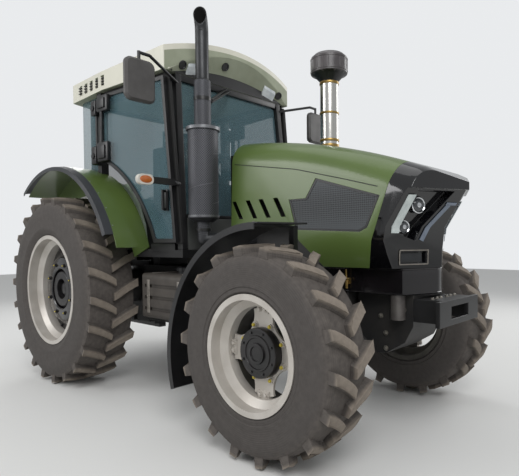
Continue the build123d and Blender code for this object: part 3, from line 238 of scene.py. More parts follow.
cast_black = coat("cast_iron_black_paint", "#1b1b1c", "#282624", 0.5, 0.22, 0.006, 0.0012)
for node in ("engine_block", "transmission", "rear_axle", "front_axle"):
    finished(node, cast_black, CAST_EDGE)

# Frame: the band and rails are rolled steel plate in gloss black enamel with round edges, over a cast belly.
# Two machined grey columns stand under the band's front corners, and the weight carrier is bolted in front.
# Hexagon bolts hold the belly, and a catch in yellow zinc plate holds the hood down on each side.
gloss_black = coat("gloss_black_enamel", "#100f11", "#191618", 0.17, 0.5, 0.03, 0.0002,
                   Coat_Weight=0.4, Coat_Roughness=0.06)
steel_black = coat("satin_black_paint", "#141415", "#1e1e1f", 0.38, 0.25, 0.004, 0.0003)
bolt_zinc = coat("zinc_plate", "#a8a49c", "#8b877f", 0.36, 0.03, 0.002, 0.0002, Metallic=0.9)
yellow_zinc = coat("yellow_passivated_zinc", "#a58a52", "#8d7442", 0.34, 0.02, 0.002, 0.0002, Metallic=0.85)
column_grey = coat("machined_column_grey", "#5f5b58", "#4e4a48", 0.4, 0.05, 0.004, 0.0004, Metallic=0.3)
PLATE_EDGE = 0.004
SHEET_EDGE = 0.003
BAND_LOW = 0.955
BAND_SIDE = 0.2895
COLUMN = (1.905, 0.242)
COLUMN_REACH = 0.049
COLUMN_FOOT = 0.798


def on_column(spot, way):
    """Faces of the two round columns under the band's front corners."""
    away = math.hypot(spot.x - COLUMN[0], abs(spot.y) - COLUMN[1])
    return COLUMN_FOOT < spot.z < BAND_LOW and away < COLUMN_REACH


finished("front_frame", gloss_black, SHEET_EDGE,
         ((cast_black, lambda spot, way: spot.z < BAND_LOW), (column_grey, on_column)))
finished("front_carrier", steel_black, PLATE_EDGE)
finished("drawbar", steel_black, PLATE_EDGE)


def fixed(name, bm, finish, body):
    """A new closed piece that moves with a body."""
    bmesh.ops.recalc_face_normals(bm, faces=bm.faces)
    made = new_piece(name, bm, finish)
    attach(made, body)
    return made


def add_bar(bm, start, end, radius, sides=16, end_radius=None):
    """A bar between two points, round or with the sides it is given."""
    start, end = Vector(start), Vector(end)
    along = end - start
    spot = Matrix.Translation((start + end) / 2) @ along.to_track_quat("Z", "Y").to_matrix().to_4x4()
    bmesh.ops.create_cone(bm, cap_ends=True, segments=sides, radius1=radius, depth=along.length, matrix=spot,
                          radius2=radius if end_radius is None else end_radius)


def add_bolt(bm, spot, way, size):
    """A hexagon head on a washer, seated at a spot. Size is the head's radius."""
    spot, way = Vector(spot), Vector(way).normalized()
    add_bar(bm, spot - way * 0.002, spot + way * size * 0.28, size * 1.45, 14)
    add_bar(bm, spot + way * size * 0.28, spot + way * size * 1.0, size, 6)
    add_bar(bm, spot + way * size * 1.0, spot + way * size * 1.15, size * 0.86, 6, size * 0.6)


def add_block(bm, corner, opposite, edge=0.0, turn=None):
    """A block between two opposite corners, turned by a matrix, its edges rolled over."""
    low = Vector([min(pair) for pair in zip(corner, opposite)])
    high = Vector([max(pair) for pair in zip(corner, opposite)])
    made = bmesh.ops.create_cube(bm, size=1.0)["verts"]
    bmesh.ops.scale(bm, vec=high - low, verts=made)
    bmesh.ops.translate(bm, vec=(low + high) / 2, verts=made)
    if turn:
        bmesh.ops.transform(bm, matrix=turn, verts=made)
    if edge:
        edges = list({e for v in made for e in v.link_edges})
        bmesh.ops.bevel(bm, geom=edges, offset=edge, segments=2, profile=0.5, affect="EDGES", material=-1)


BELLY_SIDE = 0.2095
BELLY_BOLTS = ((1.615, 0.86), (1.611, 0.812), (1.763, 0.809), (1.80, 0.70), (1.80, 0.60), (1.93, 0.86))
CARRIER_TOP = 0.9345
CARRIER_BOLT_X = 2.10
CARRIER_BOLTS = (0.045, 0.10, 0.165)
RAIL_BOLTS = (1.05, 1.30, 1.50)
RAIL_BOLT_Z = 1.04
bm = bmesh.new()
for side in (-1, 1):
    for x, z in BELLY_BOLTS:
        add_bolt(bm, (x, side * BELLY_SIDE, z), (0, side, 0), 0.012)
    for y in CARRIER_BOLTS:
        add_bolt(bm, (CARRIER_BOLT_X, side * y, CARRIER_TOP), (0, 0, 1), 0.011)
    for x in RAIL_BOLTS:
        add_bolt(bm, (x, side * BAND_SIDE, RAIL_BOLT_Z), (0, side, 0), 0.012)
fixed("frame_bolts", bm, bolt_zinc, "chassis")

BAND_TIP = (2.069, 0.030)
BAND_LINE = ((0.985, BAND_SIDE), (1.965, BAND_SIDE), BAND_TIP)
BAND_EDGES = (0.966, 1.119)
BAND_ROUND = 0.005
bm = bmesh.new()
for side in (-1, 1):
    for (x0, y0), (x1, y1) in zip(BAND_LINE, BAND_LINE[1:]):
        for z in BAND_EDGES:
            add_bar(bm, (x0, side * y0, z), (x1, side * y1, z), BAND_ROUND, 10)
for z in BAND_EDGES:
    add_bar(bm, (BAND_TIP[0], -BAND_TIP[1], z), (*BAND_TIP, z), BAND_ROUND, 10)
fixed("band_edges", bm, gloss_black, "chassis")

CATCH_X = 1.56
bm = bmesh.new()
for side in (-1, 1):
    y = side * BAND_SIDE
    pin = y + side * 0.022
    knob = y + side * 0.020
    add_block(bm, (CATCH_X - 0.022, y, 1.015), (CATCH_X + 0.022, y + side * 0.012, 1.05), 0.003)
    add_bar(bm, (CATCH_X - 0.03, pin, 1.048), (CATCH_X + 0.03, pin, 1.048), 0.010)
    add_bar(bm, (CATCH_X, knob, 0.985), (CATCH_X, knob, 1.045), 0.009, 12, 0.013)
    add_bar(bm, (CATCH_X, pin, 1.05), (CATCH_X, y + side * 0.028, 1.112), 0.006)
fixed("hood_catches", bm, yellow_zinc, "chassis")

# Steering and linkage: forged steel under satin black paint, and a bright ground cylinder rod.
# Each turns on pins.
bright_steel = coat("ground_steel", "#a9abac", "#8f9192", 0.22, 0.08, 0.002, 0.0001, Metallic=1.0)
for node in ("knuckle_left", "knuckle_right", "lower_links", "lift_arms", "lift_rods"):
    finished(node, steel_black, PLATE_EDGE)
finished("steering_rod", bright_steel, 0.002)

# Wheels: welded steel rims in silver paint, their inner halves painted dark as painted shade, with a
# four-armed front disc.
# The centres are black castings: a turned cap on each front hub and a glossy stepped ring on each rear disc.
# Eight nuts hold each centre and pairs of bolts hold the arms. A dab of yellow marks each tightened nut.
SIDES = ((1, "left"), (-1, "right"))
FRONT_AXLE = (1.405, 0.905, 0.645)
REAR_AXLE = (-1.265, 0.895, 0.870)
WHEEL_NUTS = 8
FRONT_NUT_CIRCLE = 0.171
FRONT_DISC_FACE = 0.0395
ARM_COUNT = 4
ARM_FACE = 0.0475
ARM_CIRCLE = 0.255
ARM_SPREAD = 0.09
HUB_FACE = 0.0945
CAP_BOLT_CIRCLE = 0.126
FRONT_CAP = ((0.0, -0.054), (0.150, -0.054), (0.150, -0.008), (0.146, -0.001), (0.138, 0.001), (0.108, 0.001),
             (0.105, 0.008), (0.094, 0.008), (0.091, 0.002), (0.064, 0.002), (0.061, 0.013), (0.044, 0.016),
             (0.041, 0.009), (0.0, 0.009))
REAR_NUT_CIRCLE = 0.240
REAR_RING_FACE = 0.094
REAR_RING = ((0.188, 0.040), (0.188, 0.086), (0.196, REAR_RING_FACE), (0.285, REAR_RING_FACE), (0.300, 0.086),
             (0.312, 0.050), (0.345, 0.040), (0.350, 0.015), (0.188, 0.040))
REAR_CAP_FACE = 0.030
REAR_CAP = ((0.0, -0.002), (0.088, -0.002), (0.088, 0.006), (0.078, 0.012), (0.055, 0.012), (0.052, 0.030),
            (0.040, 0.036), (0.0, 0.036))
RIM_BOLT_CIRCLE = 0.400
RIM_BOLT_FACE = 0.0155
RIM_SPLITS = (("front", 0.918), ("rear", 0.850))
silver_paint = coat("silver_wheel_paint", "#c6c1ba", "#b3ada5", 0.36, 0.18, 0.004, 0.0002, Metallic=0.25)
# Painted shade: the inner half of each rim is painted dark grey-brown for the shade that falls inside the
# wheel.
rim_inner_painted_shade = coat("rim_inner_painted_shade_paint", "#4c4943", "#3b3934", 0.6, 0.09, 0.004, 0.0004)
hub_black = coat("hub_black_paint", "#141314", "#201e1f", 0.3, 0.12, 0.006, 0.0005)
mark_yellow = coat("yellow_marking_paint", "#b9a83c", "#a8962f", 0.55, 0.02, 0.003, 0.0003)


def join(bm, part):
    """Add a shape that was made on its own."""
    mesh = bpy.data.meshes.new("part")
    part.to_mesh(mesh)
    part.free()
    bm.from_mesh(mesh)
    bpy.data.meshes.remove(mesh)


def add_turned(bm, outline, spot, way, steps=48):
    """Turn a (radius, height) outline about an axis through a spot."""
    part = bmesh.new()
    verts = [part.verts.new((radius, 0, height)) for radius, height in outline]
    edges = [part.edges.new(ends) for ends in zip(verts, verts[1:])]
    bmesh.ops.spin(part, geom=verts + edges, axis=(0, 0, 1), cent=(0, 0, 0), angle=2 * math.pi, steps=steps,
                   use_merge=True)
    bmesh.ops.remove_doubles(part, verts=part.verts, dist=MERGE)
    turn = Vector(way).to_track_quat("Z", "Y").to_matrix().to_4x4()
    bmesh.ops.transform(part, matrix=Matrix.Translation(spot) @ turn, verts=part.verts)
    join(bm, part)


def around(axle, side, radius, angle, out):
    """A spot on a wheel: at a radius, an angle from straight ahead and a distance out from its middle."""
    x, y, z = axle
    return (x + radius * math.cos(angle), side * (y + out), z + radius * math.sin(angle))


for side, word in SIDES:
    way = (0, side, 0)
    for end, depth in RIM_SPLITS:
        # The inner half of each rim, past the split, takes the painted shade.
        finished(f"rim_{end}_{word}", silver_paint, SHEET_EDGE,
                 ((rim_inner_painted_shade, lambda spot, way, depth=depth: abs(spot.y) < depth),), side * depth)
    finished(f"hub_front_{word}", hub_black, PLATE_EDGE)
    finished(f"disc_rear_{word}", hub_black, CAST_EDGE)

    nuts, marks, cap = bmesh.new(), bmesh.new(), bmesh.new()
    for step in range(WHEEL_NUTS):
        angle = 2 * math.pi * (step + 0.5) / WHEEL_NUTS
        spot = Vector(around(FRONT_AXLE, side, FRONT_NUT_CIRCLE, angle, FRONT_DISC_FACE))
        add_bolt(nuts, spot, way, 0.016)
        add_bar(marks, spot + Vector(way) * 0.015, spot + Vector(way) * 0.026, 0.0125, 10, 0.009)
        add_bolt(cap, around(FRONT_AXLE, side, CAP_BOLT_CIRCLE, angle, HUB_FACE), way, 0.008)
    for arm in range(ARM_COUNT):
        for apart in (-ARM_SPREAD, ARM_SPREAD):
            angle = 2 * math.pi * arm / ARM_COUNT + apart
            add_bolt(nuts, around(FRONT_AXLE, side, ARM_CIRCLE, angle, ARM_FACE), way, 0.013)
    fixed(f"front_wheel_nuts_{word}", nuts, silver_paint, f"wheel_front_{word}")
    fixed(f"front_nut_marks_{word}", marks, mark_yellow, f"wheel_front_{word}")
    add_turned(cap, FRONT_CAP, around(FRONT_AXLE, side, 0, 0, HUB_FACE), way)
    fixed(f"front_hub_cap_{word}", cap, hub_black, f"wheel_front_{word}")

    nuts, marks, cap = bmesh.new(), bmesh.new(), bmesh.new()
    for step in range(WHEEL_NUTS):
        angle = 2 * math.pi * (step + 0.5) / WHEEL_NUTS
        spot = Vector(around(REAR_AXLE, side, REAR_NUT_CIRCLE, angle, REAR_RING_FACE - 0.0005))
        add_bolt(nuts, spot, way, 0.014)
        add_bar(marks, spot + Vector(way) * 0.015, spot + Vector(way) * 0.022, 0.008, 10, 0.006)
        add_bolt(nuts, around(REAR_AXLE, side, RIM_BOLT_CIRCLE, angle, RIM_BOLT_FACE), way, 0.015)
    fixed(f"rear_wheel_nuts_{word}", nuts, hub_black, f"wheel_rear_{word}")
    fixed(f"rear_nut_marks_{word}", marks, mark_yellow, f"wheel_rear_{word}")
    bm = bmesh.new()
    add_turned(bm, REAR_RING, around(REAR_AXLE, side, 0, 0, 0), way, 64)
    fixed(f"rear_wheel_ring_{word}", bm, gloss_black, f"wheel_rear_{word}")
    add_turned(cap, REAR_CAP, around(REAR_AXLE, side, 0, 0, REAR_CAP_FACE), way)
    fixed(f"rear_hub_cap_{word}", cap, hub_black, f"wheel_rear_{word}")

# Tyres: black rubber moulded with curved lugs in two staggered rows, dusty from a field.
# The dust lies on the lugs and the tread, and the side walls stay darker, with fine moulded rings.
TREAD_DEPTH = 0.048
LUG_SWEEP = 0.115
LUG_CUTS = 5
LUG_CLEAR = 0.001
FOOT_LEAD = 0.028
SPECK = 0.03
RIB_PITCH = 0.013
RING_PITCH = 0.012


def rubber(name, axle, radius):
    """Rubber whose dust follows the distance from the axle."""
    made, tree, shader, place = new_finish(name, Roughness=0.8, Specular_IOR_Level=0.3)
    centred = add_node(tree, "ShaderNodeMapping", inputs={"Vector": place, "Scale": (1, 0, 1),
                                                          "Location": (-axle[0], 0, -axle[2])})
    reach = add_node(tree, "ShaderNodeVectorMath", {"operation": "LENGTH"}, {
        0: centred.outputs[0]}).outputs["Value"]
    specks = add_node(tree, "ShaderNodeTexNoise", inputs={"Vector": place, "Scale": 1 / SPECK, "Detail": 6.0})
    on_tread = add_node(tree, "ShaderNodeMapRange", {"interpolation_type": "SMOOTHSTEP"}, {
        "Value": reach, "From Min": radius - 0.12, "From Max": radius - 0.055})
    on_top = add_node(tree, "ShaderNodeMapRange", {"interpolation_type": "SMOOTHSTEP"}, {
        "Value": reach, "From Min": radius - 0.035, "From Max": radius - 0.006})
    wall = add_node(tree, "ShaderNodeMix", {"data_type": "RGBA"}, {
        "Factor": specks.outputs["Fac"], 6: linear("#423e3c"), 7: linear("#54504d")})
    across = add_node(tree, "ShaderNodeSeparateXYZ", inputs={0: place}).outputs["Y"]
    turns = add_node(tree, "ShaderNodeMath", {"operation": "MULTIPLY"}, {
        0: across, 1: 2 * math.pi / RIB_PITCH})
    ribs = add_node(tree, "ShaderNodeMath", {"operation": "SINE"}, {0: turns.outputs[0]})
    worn = add_node(tree, "ShaderNodeMath", {"operation": "MULTIPLY_ADD"}, {
        0: ribs.outputs[0], 1: 0.07, 2: specks.outputs["Fac"]})
    tread = add_node(tree, "ShaderNodeMix", {"data_type": "RGBA"}, {
        "Factor": worn.outputs[0], 6: linear("#3f3b39"), 7: linear("#655f5a")})
    lug_top = add_node(tree, "ShaderNodeMix", {"data_type": "RGBA"}, {
        "Factor": specks.outputs["Fac"], 6: linear("#6c645b"), 7: linear("#8e8479")})
    lower = add_node(tree, "ShaderNodeMix", {"data_type": "RGBA"}, {
        "Factor": on_tread.outputs[0], 6: wall.outputs[2], 7: tread.outputs[2]})
    shade = add_node(tree, "ShaderNodeMix", {"data_type": "RGBA"}, {
        "Factor": on_top.outputs[0], 6: lower.outputs[2], 7: lug_top.outputs[2]})
    turns = add_node(tree, "ShaderNodeMath", {"operation": "MULTIPLY"}, {
        0: reach, 1: 2 * math.pi / RING_PITCH})
    ripple = add_node(tree, "ShaderNodeMath", {"operation": "SINE"}, {0: turns.outputs[0]})
    grain = add_node(tree, "ShaderNodeMath", {"operation": "ADD"}, {
        0: ripple.outputs[0], 1: specks.outputs["Fac"]})
    bump = add_node(tree, "ShaderNodeBump", inputs={
        "Height": grain.outputs[0], "Distance": 0.0006, "Strength": 0.5})
    tree.links.new(shade.outputs[2], shader.inputs["Base Color"])
    tree.links.new(bump.outputs[0], shader.inputs["Normal"])
    return made


def add_lug_row(bm, radius, width, wall, lugs, side, turn):
    """One row of lugs about the Y axis: from the crown each trails outwards and runs over the shoulder."""
    part = bmesh.new()
    bmesh.ops.create_cube(part, size=1.0)
    long_edges = [e for e in part.edges if abs(e.verts[0].co.y - e.verts[1].co.y) > 0.5]
    bmesh.ops.subdivide_edges(part, edges=long_edges, cuts=LUG_CUTS, use_grid_fill=True)
    tops = [e for e in part.edges if all(end.co.z > 0 for end in e.verts)]
    tops = [e for e in tops if abs(e.verts[0].co.x - e.verts[1].co.x) < 0.5 or abs(e.verts[0].co.y) > 0.49]
    for vert in part.verts:
        share = vert.co.y + 0.5
        over = max(0.0, (share - 0.8) / 0.2)
        trail = LUG_SWEEP * (share + 0.25 * share * (1 - share))
        if vert.co.z > 0:
            reach = radius - LUG_CLEAR - 0.012 * share ** 2
            across = (-0.02 + 0.48 * share) * width
            half = 0.027 + 0.003 * share
        else:
            reach = radius - TREAD_DEPTH - 0.014 - over * (0.33 * wall - TREAD_DEPTH - 0.014)
            across = (-0.02 + 0.45 * share) * width
            half = 0.043 + 0.004 * share
        angle = (trail + math.copysign(half, vert.co.x)) / radius
        vert.co = (reach * math.cos(angle), side * across, reach * math.sin(angle))
    bmesh.ops.bevel(part, geom=tops, offset=0.005, segments=2, profile=0.5, affect="EDGES", material=-1)
    for vert in part.verts:
        past = math.hypot(vert.co.x, vert.co.z) / (radius - LUG_CLEAR)
        vert.co.x /= max(1.0, past)
        vert.co.z /= max(1.0, past)
    bmesh.ops.rotate(part, verts=part.verts, cent=(0, 0, 0), matrix=Matrix.Rotation(turn, 3, "Y"))
    bmesh.ops.spin(part, geom=part.verts[:] + part.edges[:] + part.faces[:], axis=(0, 1, 0), cent=(0, 0, 0),
                   angle=2 * math.pi * (lugs - 1) / lugs, steps=lugs - 1, use_duplicate=True)
    join(bm, part)


TYRES = (
    ("front", FRONT_AXLE, 0.645, 0.378, 0.330, 0.1675, 18),
    ("rear", REAR_AXLE, 0.870, 0.467, 0.483, 0.1925, 22),
)
for end, axle, radius, width, rim_radius, bead, lugs in TYRES:
    skin = rubber(f"dusty_rubber_{end}", axle, radius)
    wall = radius - rim_radius
    base = radius - TREAD_DEPTH
    half = width / 2
    for side, word in SIDES:
        bm = bmesh.new()
        outline = [(rim_radius + 0.0005, bead - 0.03), (rim_radius + 0.001, bead), (rim_radius + 0.031, bead),
                   (rim_radius + 0.040, bead + 0.014), (rim_radius + 0.20 * wall, half - 0.010),
                   (rim_radius + 0.22 * wall, half - 0.005), (rim_radius + 0.26 * wall, half - 0.005),
                   (rim_radius + 0.28 * wall, half - 0.007), (rim_radius + 0.46 * wall, half - 0.001),
                   (rim_radius + 0.60 * wall, half * 0.985), (rim_radius + 0.74 * wall, half * 0.93),
                   (base - 0.014, half * 0.84), (base - 0.002, half * 0.62), (base, 0.0)]
        outline += [(reach, -across) for reach, across in reversed(outline[:-1])]
        verts = [bm.verts.new((reach, across, 0)) for reach, across in outline]
        edges = [bm.edges.new(ends) for ends in zip(verts, verts[1:])]
        bmesh.ops.spin(bm, geom=verts + edges, axis=(0, 1, 0), cent=(0, 0, 0), angle=2 * math.pi, steps=96,
                       use_merge=True)
        bmesh.ops.remove_doubles(bm, verts=bm.verts, dist=MERGE)
        lowest = math.pi / 2 + FOOT_LEAD / radius
        add_lug_row(bm, radius, width, wall, lugs, side, lowest)
        add_lug_row(bm, radius, width, wall, lugs, -side, lowest + math.pi / lugs)
        bmesh.ops.recalc_face_normals(bm, faces=bm.faces)
        bmesh.ops.translate(bm, verts=bm.verts, vec=(axle[0], side * axle[1], axle[2]))
        node = f"tyre_{end}_{word}"
        made = new_piece(f"{node}_lugged", bm, skin)
        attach(made, f"wheel_{end}_{word}")
        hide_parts(node)

# Front guards: moulded black plastic arches that turn with the wheels, bolted to a strap from the knuckle.
# The mould's surface is smooth, with a satin shine.
guard_black = coat("moulded_black_plastic", "#0f0f11", "#19191b", 0.36, 0.3, 0.002, 0.0002)
GUARD_TOP = 1.4065
GUARD_BOLTS = (0.80, 0.92, 1.02)
for side, word in SIDES:
    finished(f"front_guard_{word}", guard_black, SHEET_EDGE)
    bm = bmesh.new()
    for y in GUARD_BOLTS:
        add_bolt(bm, (FRONT_AXLE[0], side * y, GUARD_TOP), (0, 0, 1), 0.009)
    fixed(f"front_guard_bolts_{word}", bm, bolt_zinc, f"knuckle_{word}")

# Rear fenders: pressed steel in olive enamel, with a dark plastic flare riveted along the outer edge.
# The enamel has a soft gloss over a slight orange peel, and the flare's rim is worn pale.
FENDER_REACH = 1.150
WORN_RIM = 0.042
RIVET_LINE = 0.985
RIVETS = 11
RIVET_START = 30
RIVET_TURN = 9
olive = coat("olive_enamel", "#536633", "#4b5e2d", 0.32, 0.6, 0.012, 0.00012,
             Coat_Weight=0.25, Coat_Roughness=0.1)
flare_dark = coat("dark_flare_plastic", "#25282d", "#1d2024", 0.5, 0.2, 0.002, 0.0003)
flare_worn = coat("worn_flare_rim", "#7d827f", "#676c6a", 0.6, 0.06, 0.002, 0.0003)
rivet_grey = coat("aluminium_rivets", "#8e9092", "#77797b", 0.4, 0.02, 0.002, 0.0001, Metallic=0.8)


def from_axle(spot):
    """Distance of a spot from the rear axle's line."""
    return math.hypot(spot.x - REAR_AXLE[0], spot.z - REAR_AXLE[2])


for word in ("left", "right"):
    finished(f"rear_fender_{word}", olive, SHEET_EDGE)
finished("fender_flares", flare_dark, 0.0,
         ((flare_worn, lambda spot, way: from_axle(spot) < FENDER_REACH - WORN_RIM),))
bm = bmesh.new()
for side in (-1, 1):
    for step in range(RIVETS):
        angle = math.radians(RIVET_START + RIVET_TURN * step)
        way = Vector((math.cos(angle), 0, math.sin(angle)))
        spot = Vector((REAR_AXLE[0], side * RIVET_LINE, REAR_AXLE[2])) + way * (FENDER_REACH - 0.0005)
        add_bar(bm, spot - way * 0.002, spot + way * 0.003, 0.008, 10, 0.005)
fixed("fender_rivets", bm, rivet_grey, "chassis")

# Fuel tank and steps: a rotation-moulded dark tank on the right in two steel straps, and a steel battery box
# with a ladder on the left. Moulding leaves the tank slightly uneven and matt. The treads carry zinc ridges.
tank_brown = coat("rotation_moulded_plastic", "#443f3a", "#38332f", 0.6, 0.12, 0.003, 0.0004)
strap_grey = coat("galvanised_strap", "#8a857e", "#726d67", 0.45, 0.05, 0.003, 0.0002, Metallic=0.5)
STRAPS = (-0.13, 0.29)
STRAP_HALF = 0.02
STRAP_SIDE = -0.7545
TANK_CAP = (0.10, -0.55)
CAP_TOP = 1.0445
CAP_REACH = 0.062
CAP_GRIPS = 12
finished("fuel_tank", tank_brown, 0.0)
finished("left_steps", steel_black, PLATE_EDGE)
bm = bmesh.new()
for x in STRAPS:
    add_block(bm, (x - STRAP_HALF, STRAP_SIDE, 0.72), (x + STRAP_HALF, -0.7505, 0.995), 0.001)
    add_block(bm, (x - STRAP_HALF, -0.705, 1.0455), (x + STRAP_HALF, -0.345, 1.0495), 0.001)
    add_bolt(bm, (x, STRAP_SIDE, 0.86), (0, -1, 0), 0.009)
fixed("tank_straps", bm, strap_grey, "chassis")

bm = bmesh.new()
cap = [(0.0, 0.0), (0.055, 0.0), (0.055, 0.02), (CAP_REACH, 0.02), (CAP_REACH, 0.045), (0.056, 0.052),
       (0.0, 0.055)]
add_turned(bm, cap, (*TANK_CAP, CAP_TOP), (0, 0, 1), 32)
for step in range(CAP_GRIPS):
    angle = 2 * math.pi * step / CAP_GRIPS
    way = Vector((math.cos(angle), math.sin(angle), 0))
    spot = Vector((*TANK_CAP, 1.067)) + way * CAP_REACH
    add_bar(bm, spot, spot + Vector((0, 0, 0.020)), 0.005, 8)
fixed("tank_cap", bm, guard_black, "chassis")

STEPS = 3
STEP_RISE = 0.26
STEP_SETBACK = 0.04
FIRST_STEP = (0.645, 0.4995)
RIDGES = 5
RIDGE_PITCH = 0.035
RIDGE_HALF = 0.006
bm = bmesh.new()
for index in range(STEPS):
    z = FIRST_STEP[1] + STEP_RISE * index
    for ridge in range(RIDGES):
        y = FIRST_STEP[0] - STEP_SETBACK * index + RIDGE_PITCH * ridge
        add_block(bm, (-0.235, y - RIDGE_HALF, z), (0.055, y + RIDGE_HALF, z + 0.004), 0.0015)
fixed("step_treads", bm, bolt_zinc, "chassis")

# Hood: a pressed steel skin in olive enamel that tips up on two rear hinges, with a black moulded nose.
# The nose is polished deep black. A shut line runs along each shoulder, and dark perforated sheet fills
# the side openings. Its holes are drawn coarser than real ones, so that they show.
SHEET_PITCH = 0.014
finished("hood_shell", olive, SHEET_EDGE)
nose_black = coat("piano_black_plastic", "#08080a", "#0d0d10", 0.09, 0.6, 0.05, 0.0001,
                  Coat_Weight=0.6, Coat_Roughness=0.03)
finished("nose_fascia", nose_black, PLATE_EDGE)
mesh_dark, tree, shader, place = new_finish("perforated_sheet", Roughness=0.5)
holes = add_node(tree, "ShaderNodeTexVoronoi", inputs={
    "Vector": place, "Scale": 1 / SHEET_PITCH, "Randomness": 0.0})
punched = add_node(tree, "ShaderNodeMapRange", inputs={
    "Value": holes.outputs["Distance"], "From Min": 0.30, "From Max": 0.42})
shade = add_node(tree, "ShaderNodeMix", {"data_type": "RGBA"}, {
    "Factor": punched.outputs[0], 6: linear("#0c0d0f"), 7: linear("#3f4346")})
bump = add_node(tree, "ShaderNodeBump", inputs={
    "Height": punched.outputs[0], "Distance": 0.001, "Strength": 0.6})
tree.links.new(shade.outputs[2], shader.inputs["Base Color"])
tree.links.new(bump.outputs[0], shader.inputs["Normal"])
finished("hood_grilles", mesh_dark, 0.0)

shut_dark = coat("shut_line_shadow", "#161b0f", "#1d2314", 0.7, 0.1, 0.004, 0.0001)


def surface_of(node):
    """A CAD node's surface, to seat thin trim on."""
    bm = bmesh.new()
    bm.from_mesh(frame["nodes"][node].data)
    made = BVHTree.FromBMesh(bm)
    bm.free()
    return made


def add_strip(bm, surface, path, width, lift, way, steps=24):
    """Trim of one width that lies on a surface along a path, seen along a direction."""
    part = bmesh.new()
    bmesh.ops.create_grid(part, x_segments=steps, y_segments=1, size=0.5)
    way = Vector(way)
    runs = [(Vector(b) - Vector(a)).length for a, b in zip(path, path[1:])]
    for vert in part.verts:
        ahead = (vert.co.x + 0.5) * sum(runs)
        for run, a, b in zip(runs, path, path[1:]):
            if ahead <= run or b == path[-1]:
                break
            ahead -= run
        along = (Vector(b) - Vector(a)).normalized()
        spot = Vector(a) + along * ahead + along.cross(way) * vert.co.y * width
        hit = surface.ray_cast(spot - way * 0.6, way)[0]
        vert.co = (hit or spot) - way * lift
    bmesh.ops.recalc_face_normals(part, faces=part.faces)
    bmesh.ops.solidify(part, geom=part.faces[:], thickness=lift)
    join(bm, part)


HOOD_SIDE = 0.4
SHUT_LINE = ((0.56, 1.910), (1.20, 1.805), (1.625, 1.696), (1.86, 1.632))
shell_surface = surface_of("hood_shell")
bm = bmesh.new()
for side in (-1, 1):
    path = [(x, side * HOOD_SIDE, z) for x, z in SHUT_LINE]
    add_strip(bm, shell_surface, path, 0.006, 0.0008, (0, -side, 0), 40)
fixed("hood_shut_lines", bm, shut_dark, "hood")

# Hood edging: a black rubber lip lies round each mesh opening, and louvre blades stand in the slots behind.
# The lip is glued on, and the blades are moulded in black.
MESH_CORNERS = ((-0.270, 1.597), (-0.115, 1.597), (-0.030, 1.727), (0.470, 1.577), (0.385, 1.383),
                (0.330, 1.357), (-0.200, 1.382))
grille_surface = surface_of("hood_grilles")
bm = bmesh.new()
for side in (-1, 1):
    middle_x = sum(x for x, z in MESH_CORNERS) / len(MESH_CORNERS)
    middle_z = sum(z for x, z in MESH_CORNERS) / len(MESH_CORNERS)
    inner = [(middle_x + (x - middle_x) * 0.965, middle_z + (z - middle_z) * 0.955) for x, z in MESH_CORNERS]
    ends = inner[1:] + inner[:1]
    for pair in zip(inner, ends):
        path = [(FRONT_AXLE[0] + x, side * HOOD_SIDE, z) for x, z in pair]
        add_strip(bm, grille_surface, path, 0.014, 0.003, (0, -side, 0), 8)
fixed("grille_lips", bm, guard_black, "hood")

LOUVRE_STARTS = (-0.870, -0.715, -0.575, -0.425)
LOUVRE_MIDDLE = (0.0885, 1.548)
LOUVRE_LEAN = -0.546
bm = bmesh.new()
for side in (-1, 1):
    for start in LOUVRE_STARTS:
        middle = (FRONT_AXLE[0] + start + LOUVRE_MIDDLE[0], 0, LOUVRE_MIDDLE[1])
        lean = Matrix.Translation(middle) @ Matrix.Rotation(LOUVRE_LEAN, 4, "Y")
        add_block(bm, (-0.004, side * 0.385, -0.082), (0.004, side * 0.402, 0.082), 0.002, lean)
fixed("louvre_blades", bm, guard_black, "hood")

# Nose lamps: glass lenses in chrome rims inside each bay, a frosted light bar beside it and a fog lamp below.
# The nose carries a bright angled trim along the bay's inner edge and a slim frame round the fog lamp.
lamp_clear = coat("lamp_lens", "#cdd2d4", "#b4bbbf", 0.12, 0.05, 0.01, 0.0003, Coat_Weight=0.8)
lamp_smoke = coat("smoked_lamp_lens", "#3c4044", "#26292c", 0.06, 0.03, 0.012, 0.0003, Coat_Weight=1.0)
frosted = coat("frosted_light_bar", "#c3cbc9", "#b2bbba", 0.4, 0.05, 0.003, 0.0003)
lamp_body = coat("lamp_housing", "#26282b", "#1c1e20", 0.3, 0.05, 0.004, 0.0002)
chrome = coat("chrome_plate", "#d6d8da", "#c6c9cc", 0.1, 0.3, 0.02, 0.0001, Metallic=1.0)
trim_blue = coat("blue_grey_trim", "#7d8694", "#6a7380", 0.3, 0.1, 0.003, 0.0001, Metallic=0.4)
LIGHT_BAR_INNER = 0.326
FOG_TOP = 1.27
finished("headlamps", lamp_body, 0.002,
         ((frosted, lambda spot, way: abs(spot.y) > LIGHT_BAR_INNER),
          (lamp_smoke, lambda spot, way: way.x > 0.5 and abs(spot.y) < LIGHT_BAR_INNER and spot.z > FOG_TOP)))
LAMP_SQUINT = 0.45
ROUND_LAMPS = ((2.0430, 0.2415, 1.516, 0.046), (1.9543, 0.2615, 1.385, 0.040))
rims, lenses = bmesh.new(), bmesh.new()
